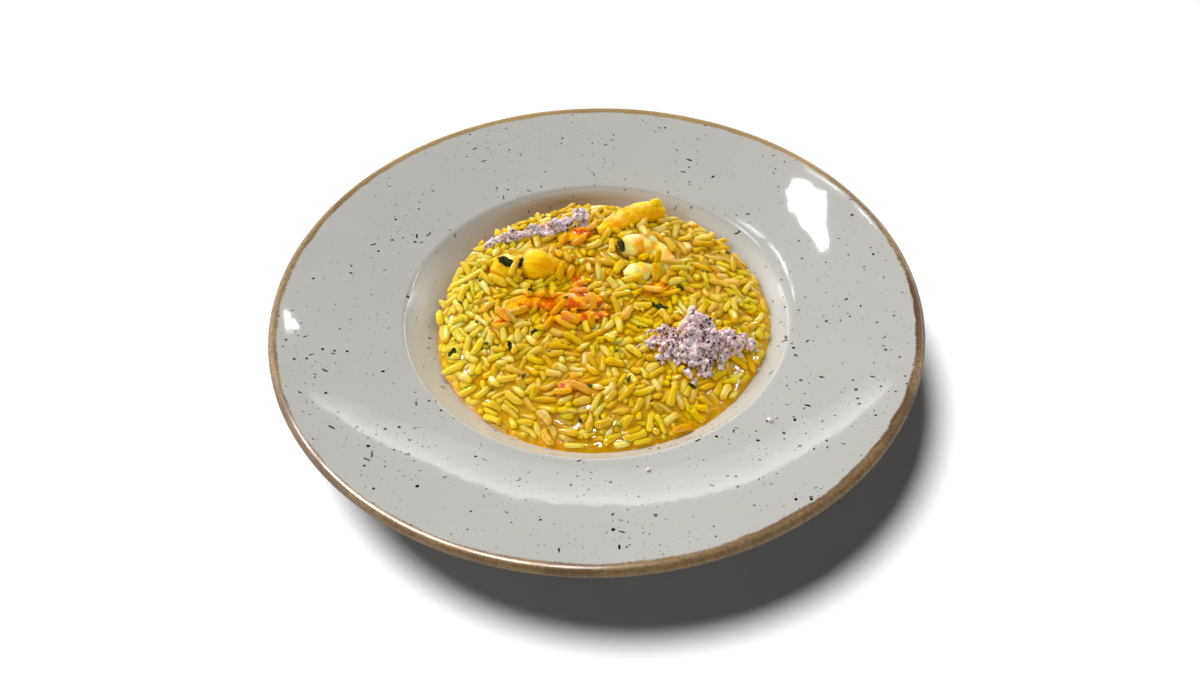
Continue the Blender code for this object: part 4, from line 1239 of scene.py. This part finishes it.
def leaf_shape(length, width, columns, rows, phase):
    """A ragged, wavy scrap of leaf round the origin: its corners, and faces for both sides and the edge."""
    lengthwise = np.arange(columns + 1) / columns - 0.5
    x, y = np.meshgrid(lengthwise, np.arange(rows + 1) / rows - 0.5, indexing="ij")
    y = y * (np.sqrt(np.maximum(1.0 - 4.0 * x * x, 0.0)) * 0.85 + 0.15)
    ragged = 1.0 + 0.55 * smooth_noise(x * 7.0, y * 7.0, phase)
    wave = LEAF_WAVE * 0.5 * np.sin(5.0 * x + 3.0 * y + phase) * min(length / 6.0, 1.0)
    sides = [
        np.stack([x * length * ragged, y * width * ragged, wave + 0.5 * LEAF_THICKNESS * side], 2)
        for side in (1.0, -1.0)
    ]
    per_side = x.size
    top = np.array(grid_faces(columns + 1, rows + 1))[:, (0, 3, 2, 1)]
    faces = [*top.tolist(), *(top[:, ::-1] + per_side).tolist()]
    edge = list(range(rows))
    edge += [i * (rows + 1) + rows for i in range(columns)]
    edge += [columns * (rows + 1) + j for j in range(rows, 0, -1)]
    edge += [i * (rows + 1) for i in range(columns, 0, -1)]
    faces += [(a, b, b + per_side, a + per_side) for a, b in zip(edge, edge[1:] + edge[:1])]
    return np.reshape(sides, (-1, 3)), faces


def surface_tree(pieces):
    """The faces of the pieces, in millimetres, for finding what lies under a place."""
    corners = []
    faces = []
    for piece in pieces:
        start = len(corners)
        corners += [corner.co / MM for corner in piece.data.vertices]
        faces += [[start + corner for corner in face.vertices] for face in piece.data.polygons]
    return BVHTree.FromPolygons(corners, faces)


def height_under(tree, x, y):
    return tree.ray_cast(Vector((x, y, BOWL_RADIUS)), Vector((0.0, 0.0, -1.0)))[0].z


def build_herbs(tree, material):
    """Scraps of dark leaf that drape over the prawns and the rice, and smaller flecks between the grains."""
    draw = np.random.default_rng(SEED + 2)
    scraps = [(*scrap, 9, 5) for scrap in HERB_SCRAPS]
    for x, y, length in HERB_FLECKS:
        scraps.append((x, y, draw.uniform(0.0, math.pi), length, draw.uniform(0.8, 1.5), 5, 2))
    corners = []
    faces = []
    tone = []
    for k, (x, y, yaw, length, width, columns, rows) in enumerate(scraps):
        shape, sides = leaf_shape(length, width, columns, rows, 1.7 * k)
        shape = shape @ np.array(Matrix.Rotation(yaw, 3, "Z")).T + np.array((x, y, 0.0))
        middle = height_under(tree, x, y)
        start = len(corners)
        for corner in shape:
            drop = max(height_under(tree, corner[0], corner[1]), middle - 0.35 * length)
            corners.append((corner[0], corner[1], corner[2] + LEAF_LIFT + blend(middle, drop, 0.7)))
        faces += [tuple(start + corner for corner in face) for face in sides]
        tone += [draw.uniform(0.0, 0.3) + (0.7 if columns < 9 else 0.0)] * len(shape)
    dress(mesh_piece("herb_scraps", corners, faces, material, {"tone": tone}, math.radians(50.0)), "rice")


def herb_material():
    """Dark cooked herb, glossy with stock."""
    look = Look("dark_herb")
    vein = look.spread(look.noise(1.2, 3.0), 0.5, 0.7, 0.0, 0.7)
    look.set(
        base_color=look.paint((30, 32, 5), (look.value("tone"), 60, 82, 14), (vein, 84, 96, 22)),
        roughness=0.55,
        specular_ior_level=0.25,
        normal=look.bump(look.noise(0.6, 3.0), 0.6, 0.25),
    )
    return look.material


# ---- crumbs ----


def rock_shapes(draw, count, subdivisions):
    """Unit crumbs: balls that are knobbly all over and cut off on a few sides."""
    form = bmesh.new()
    bmesh.ops.create_icosphere(form, subdivisions=subdivisions, radius=1.0)
    ball = np.array([corner.co for corner in form.verts])
    faces = np.array([[corner.index for corner in face.verts] for face in form.faces])
    form.free()
    shapes = []
    for k in range(count):
        normals = unit(draw.normal(size=(4, 3)))
        cuts = draw.uniform(0.6, 1.0, 4)
        flat = np.min(cuts[None, :] / np.maximum(ball @ normals.T, 0.05), axis=1)
        away = Vector((9.0 * k, 0.0, 0.0))
        knobs = np.array([noise.noise(Vector(corner) * 1.7 + away) for corner in ball])
        grit = np.array([noise.noise(Vector(corner) * 5.5 + away) for corner in ball])
        size = np.minimum(flat, 1.05) * (1.0 + 0.35 * knobs + 0.4 * grit)
        shapes.append(ball * size[:, None] * draw.uniform(0.8, 1.15, 3))
    return shapes, faces


def random_turns(draw, count):
    """Rotation matrices, evenly spread."""
    return [np.array(Quaternion(four).to_matrix()) for four in unit(draw.normal(size=(count, 4)))]


def mound_outline(angle):
    """The mound straggles out in four arms."""
    longways, arms, unevenness = MOUND_ARMS
    reach = MOUND_REACH + longways * math.cos(2.0 * angle) + arms * math.cos(4.0 * angle)
    return reach + unevenness * math.sin(5.0 * angle)


def crumb_places(top, draw):
    """Centres and radii of the crumbs: a craggy mound with a peak, a strip, and the strays on the rim."""
    spots = []
    for k in range(MOUND_CRUMBS):
        share = math.sqrt((k + 0.5) / MOUND_CRUMBS) * 1.12
        angle = GOLDEN_ANGLE * k
        reach = share * mound_outline(angle)
        x = MOUND_CENTRE[0] + reach * math.cos(angle)
        y = MOUND_CENTRE[1] + reach * math.sin(angle)
        crag = noise_at(x / 3.6, y / 3.6, 11.0)
        if crag < 1.5 * share - 1.25 or draw.random() < 0.55 * share:
            continue
        pile = MOUND_HEIGHT * max(1.0 - share ** 1.4, 0.0) * (0.8 + 0.6 * crag) + 0.9
        off = math.hypot(x - MOUND_PEAK[0], y - MOUND_PEAK[1]) / MOUND_PEAK[3]
        pile += MOUND_PEAK[2] * math.exp(-off ** 2)
        spots.append((x, y, pile * draw.choice((1.0, 1.0, 0.6, 0.25))))
    for _ in range(STRIP_CRUMBS):
        x, y, half = curve_point(STRIP_SPINE, draw.random())
        aside = draw.normal() * 0.55
        crag = noise_at(x / 3.0, y / 3.0, 17.0)
        if crag < abs(aside) - 0.75:
            continue
        pile = 2.2 * math.exp(-aside ** 2) * (0.8 + 0.7 * crag)
        spots.append((x + draw.uniform(-1.0, 1.0), y + 1.8 * aside * half, pile * draw.choice((1.0, 0.5))))
    x, y, pile = np.array(spots).T
    radii = blend(*CRUMB_RADIUS, draw.random(len(x)) ** 2.0)
    places = np.stack([x, y, top.at(x, y) + np.maximum(pile, 0.2)], 1)
    strays = np.array(STRAY_CRUMBS)
    stray_heights = rim_height(np.hypot(strays[:, 0], strays[:, 1])) + 0.6 * strays[:, 2]
    places = np.vstack([places, np.column_stack([strays[:, :2], stray_heights])])
    return places, np.append(radii, strays[:, 2])


def scattered_mesh(places, radii, draw, kinds=12):
    """Corners, faces and a tone for many crumbs, the larger ones with more faces."""
    turns = random_turns(draw, len(places))
    corners = []
    faces = []
    tone = []
    start = 0
    for subdivisions, least, most in CRUMB_TIERS:
        shapes, sides = rock_shapes(draw, kinds, subdivisions)
        for k in np.flatnonzero((radii >= least) & (radii < most)):
            corners.append(places[k] + (shapes[k % kinds] @ turns[k].T) * radii[k])
            faces += (sides + start).tolist()
            tone += [draw.random()] * len(shapes[0])
            start += len(shapes[0])
    return np.concatenate(corners), faces, tone


def build_crumbs(top, material, dark_material):
    draw = np.random.default_rng(SEED + 1)
    places, radii = crumb_places(top, draw)
    in_strip = (places[:, 0] < 0.0) & (places[:, 1] > 0.0)
    for name, node, chosen in (
        ("crumbs_mound", "crumb_mound", ~in_strip),
        ("crumbs_strip", "crumb_strip", in_strip),
    ):
        corners, faces, tone = scattered_mesh(places[chosen], radii[chosen], draw)
        crumbs = mesh_piece(name, corners, faces, material, {"tone": tone}, math.radians(38.0))
        dress(crumbs, "crumb", node)
    chosen = draw.choice(len(places), DARK_CRUMBS, replace=False)
    way = unit(draw.normal(size=(DARK_CRUMBS, 3)) + (0.0, -1.0, 1.6))
    spots = places[chosen] + way * radii[chosen][:, None] * 0.98
    corners, faces, tone = scattered_mesh(spots, draw.uniform(*DARK_CRUMB_RADIUS, DARK_CRUMBS), draw)
    dark = mesh_piece("crumbs_dark", corners, faces, dark_material, {"tone": tone}, math.radians(28.0))
    dress(dark, "crumb")


def crumb_material():
    """Dry crumb, pale lavender-pink, with darker blotches of painted shade for its hollows."""
    look = Look("lavender_crumb")
    # Painted shade: darker blotches, spread by noise, stand for the shade in the crumb's hollows.
    pit_shade = look.spread(look.noise(2.2, 3.0), 0.50, 0.68, 0.0, 0.8)
    look.set(
        base_color=look.paint((248, 214, 216), (look.value("tone"), 254, 238, 238), (pit_shade, 196, 152, 158)),
        roughness=0.8,
        subsurface_weight=0.6,
        subsurface_radius=(1.0, 0.8, 0.8),
        subsurface_scale=1.2 * MM,
        normal=look.bump(look.noise(0.45, 3.0), 0.9, 0.25),
    )
    return look.material


def dark_crumb_material():
    """Dry dark purple, almost black."""
    look = Look("dark_speck")
    look.set(base_color=look.paint((84, 48, 74), (look.noise(0.8, 1.0), 34, 18, 28)), roughness=0.5)
    return look.material


# ---- camera, light and floor ----

def place_camera():
    back = Vector((0.0, -math.cos(CAMERA_ELEVATION), math.sin(CAMERA_ELEVATION)))
    right = Vector((1.0, 0.0, 0.0))
    up = back.cross(right)
    turned_right = right * math.cos(CAMERA_ROLL) + up * math.sin(CAMERA_ROLL)
    turned_up = up * math.cos(CAMERA_ROLL) - right * math.sin(CAMERA_ROLL)
    view = Matrix((turned_right, turned_up, back)).transposed().to_4x4()
    view.translation = (Vector(CAMERA_TARGET) + back * CAMERA_DISTANCE) * MM
    lens = bpy.data.cameras.new("camera")
    lens.lens = LENS
    lens.sensor_width = SENSOR
    lens.clip_start = 0.01
    camera = bpy.data.objects.new("camera", lens)
    camera.matrix_world = view
    bpy.context.scene.collection.objects.link(camera)
    bpy.context.scene.camera = camera


def toward(azimuth, elevation):
    """The way to a light, from degrees. Azimuth 0 is behind the bowl, and turns towards +X."""
    azimuth = math.radians(azimuth)
    elevation = math.radians(elevation)
    flat = math.cos(elevation)
    return Vector((flat * math.sin(azimuth), flat * math.cos(azimuth), math.sin(elevation)))


def add_sun(name):
    """A far lamp, as wide and strong as SUNS says."""
    azimuth, elevation, width, strength, mirrored_too = SUNS[name]
    lamp = bpy.data.lights.new(name, "SUN")
    lamp.angle = width
    lamp.energy = strength
    holder = bpy.data.objects.new(name, lamp)
    holder.matrix_world = toward(azimuth, elevation).to_track_quat("Z", "Y").to_matrix().to_4x4()
    holder.visible_glossy = mirrored_too
    bpy.context.scene.collection.objects.link(holder)
    return holder


def link_light(lamp, things, state="INCLUDE"):
    """Let a lamp light only some things, or all but those things."""
    group = bpy.data.collections.new(lamp.name + "_receivers")
    for thing in things:
        group.objects.link(thing)
    lamp.light_linking.receiver_collection = group
    for linked in group.collection_objects:
        linked.light_linking.link_state = state


def light_scene(floor):
    """A key from behind on the left and a soft sky for the object, and two lamps for the floor alone."""
    world = bpy.data.worlds.new("studio")
    world.use_nodes = True
    background = world.node_tree.nodes["Background"]
    background.inputs["Color"].default_value = (1.0, 1.0, 1.0, 1.0)
    background.inputs["Strength"].default_value = WORLD_STRENGTH
    bpy.context.scene.world = world
    key = add_sun("key")
    key.data.color = KEY_COLOUR
    link_light(key, [floor], "EXCLUDE")
    link_light(add_sun("dome"), [floor], "EXCLUDE")
    link_light(add_sun("overhead"), [floor])
    link_light(add_sun("floor_fill"), [floor])


def shining_card(name, corners, faces, strength, glow, unseen_by):
    """A black part of the stage that gives off white light. Glow is the share of strength at each corner."""
    look = Look(name)
    look.set(base_color=(0.0, 0.0, 0.0, 1.0), emission_color=(1.0, 1.0, 1.0, 1.0))
    look.set(emission_strength=look.times(look.value("glow"), strength))
    card = mesh_piece(name, corners, faces, look.material, {"glow": glow})
    for ray in unseen_by:
        setattr(card, "visible_" + ray, False)
    return card


def build_floor():
    look = Look("pale_floor")
    look.set(base_color=(0.4, 0.4, 0.4, 1.0), roughness=0.9, specular_ior_level=0.1)
    corners = [(x * FLOOR_REACH, y * FLOOR_REACH, FLOOR_TOP) for x, y in ((-1, -1), (1, -1), (1, 1), (-1, 1))]
    floor = mesh_piece("floor", corners, [(0, 1, 2, 3)], look.material)
    return floor


def build_backdrop():
    """A white wall far off, which only the camera sees: it stands over the floor's far edge in low views."""
    steps = 65
    corners = [
        toward(azimuth, 0.0) * BACKDROP_RADIUS + Vector((0.0, 0.0, height))
        for azimuth in np.linspace(0.0, 360.0, steps) for height in (FLOOR_TOP, BACKDROP_HEIGHT)
    ]
    unseen_by = ("diffuse", "glossy", "shadow", "transmission")
    shining_card("backdrop", corners, grid_faces(steps, 2), 1.0, [1.0] * len(corners), unseen_by)


# ---- bright cards that only reflections show ----

def mirrored(angle, radius, lean=-RIM_SLOPE):
    """What the camera sees mirrored in the rim, at an angle in degrees: a place at CARD_DISTANCE."""
    turn = math.radians(angle)
    out = Vector((math.cos(turn), math.sin(turn), 0.0))
    point = out * radius + Vector((0.0, 0.0, rim_height(radius)))
    normal = Vector((0.0, 0.0, math.cos(lean))) + out * math.sin(lean)
    eye = bpy.context.scene.camera.matrix_world.translation / MM
    way = (point - eye).normalized()
    return point + (way - 2.0 * way.dot(normal) * normal) * CARD_DISTANCE


def reflector(name, corners, faces, strength, glow):
    """A bright card that only mirrors show."""
    return shining_card(name, corners, faces, strength, glow, ("camera", "diffuse", "shadow", "transmission"))


def build_window_band():
    """The long soft window that shows as a band on the front of the rim."""
    rows = 240
    profile = ((0.0, 0.0), (0.1, 0.2), (0.4, 0.28), (0.7, 0.55), (0.9, 0.96), (1.0, 1.0))
    corners = []
    glow = []
    for share in np.linspace(0.0, 1.0, rows):
        angle, radius = curve_point(WINDOW_BAND, share)
        radius += 1.2 * noise_at(angle / 5.0) + 0.7 * noise_at(angle * 0.8, 5.0)
        ends = min(share, 1.0 - share)
        width = WINDOW_BAND_WIDTH * blend(0.4, 1.0, min(3.0 * ends, 1.0))
        for reach, bright in profile:
            corners.append(mirrored(angle, radius + (reach - 1.0) * width))
            glow.append(bright * min(9.0 * ends, 1.0))
    return reflector("window_band", corners, grid_faces(rows, len(profile)), 3.7, glow)


def build_line_glare(name, line, rail, strength):
    """A window that shows as a thin broken line. The rail has its sides' distances and the glaze's lean."""
    rows = 60
    corners = []
    glow = []
    for share in np.linspace(0.0, 1.0, rows):
        angle, radius = curve_point(line, share)
        broken = smoothstep(noise_at(angle / 6.0, 4.0), -0.5, 0.1)
        for offset, lean in rail:
            corners.append(mirrored(angle, radius + offset, lean))
            glow.append(broken * min(8.0 * share, 8.0 * (1.0 - share), 1.0))
    return reflector(name, corners, grid_faces(rows, len(rail)), strength, glow)


def build_glare(name, outline, strength):
    """A small hard-edged window, its outline ragged as wavy glaze shows it."""
    steps = 5
    corners = []
    for start, end in zip(outline, [*outline[1:], outline[0]]):
        for k in range(steps):
            angle, radius = (blend(a, b, k / steps) for a, b in zip(start, end))
            shake = noise.noise_vector(Vector((angle * 1.9, radius * 0.9, 3.0)))
            corners.append(mirrored(angle + 0.7 * shake.x, radius + 1.3 * shake.y))
    middle = sum(corners, Vector()) / len(corners)
    faces = [(k, (k + 1) % len(corners), len(corners)) for k in range(len(corners))]
    return reflector(name, [*corners, middle], faces, strength, [1.0] * (len(corners) + 1))


def far_card(name, azimuths, columns, profile, strength):
    """A card far off, as wide as azimuths says. The profile gives elevations and the glow there."""
    spread = np.linspace(*azimuths, columns)
    corners = [toward(azimuth, elevation) * FAR for azimuth in spread for elevation, _ in profile]
    glow = [share for _ in spread for _, share in profile]
    return reflector(name, corners, grid_faces(columns, len(profile)), strength, glow)


def build_reflections(bowl):
    """The windows that only the bowl mirrors."""
    cards = [far_card("horizon", HORIZON_AZIMUTHS, 40, HORIZON, 1.0), build_window_band()]
    cards += [build_line_glare(name, *line) for name, line in LINE_GLARES.items()]
    cards += [build_glare(name, *glare) for name, glare in GLARES.items()]
    for card in cards:
        link_light(card, [bowl])


def build_sparkles(food):
    """Small bright windows that only the food mirrors."""
    for name, azimuths, (low, high), strength in SPARKLES:
        link_light(far_card(name, azimuths, 12, ((low, 1.0), (high, 1.0)), strength), food)


# ---- the whole ----

def build():
    noise.seed_set(SEED)
    bpy.context.scene.view_settings.view_transform = "Standard"
    place_camera()
    light_scene(build_floor())
    build_backdrop()
    build_reflections(build_bowl(glaze_material()))
    bed = GrainBed(topping_obstacles()).settle()
    tops, gaps = grain_raster(bed)
    surface, thickness = sauce_heights(tops, gaps)
    bed.keep(seen_grains(bed, tops, surface))
    rice = build_rice(bed, surface, rice_material())
    food = [rice, build_sauce(surface, thickness, sauce_material()), *build_prawns(), *build_tomato()]
    top = HeightMap(RASTER_STEP, np.maximum(blur(tops.values, 1), surface.values))
    build_crumbs(top, crumb_material(), dark_crumb_material())
    build_herbs(surface_tree(food), herb_material())
    build_sparkles(food)
    link_light(add_sun("front"), food)


build()
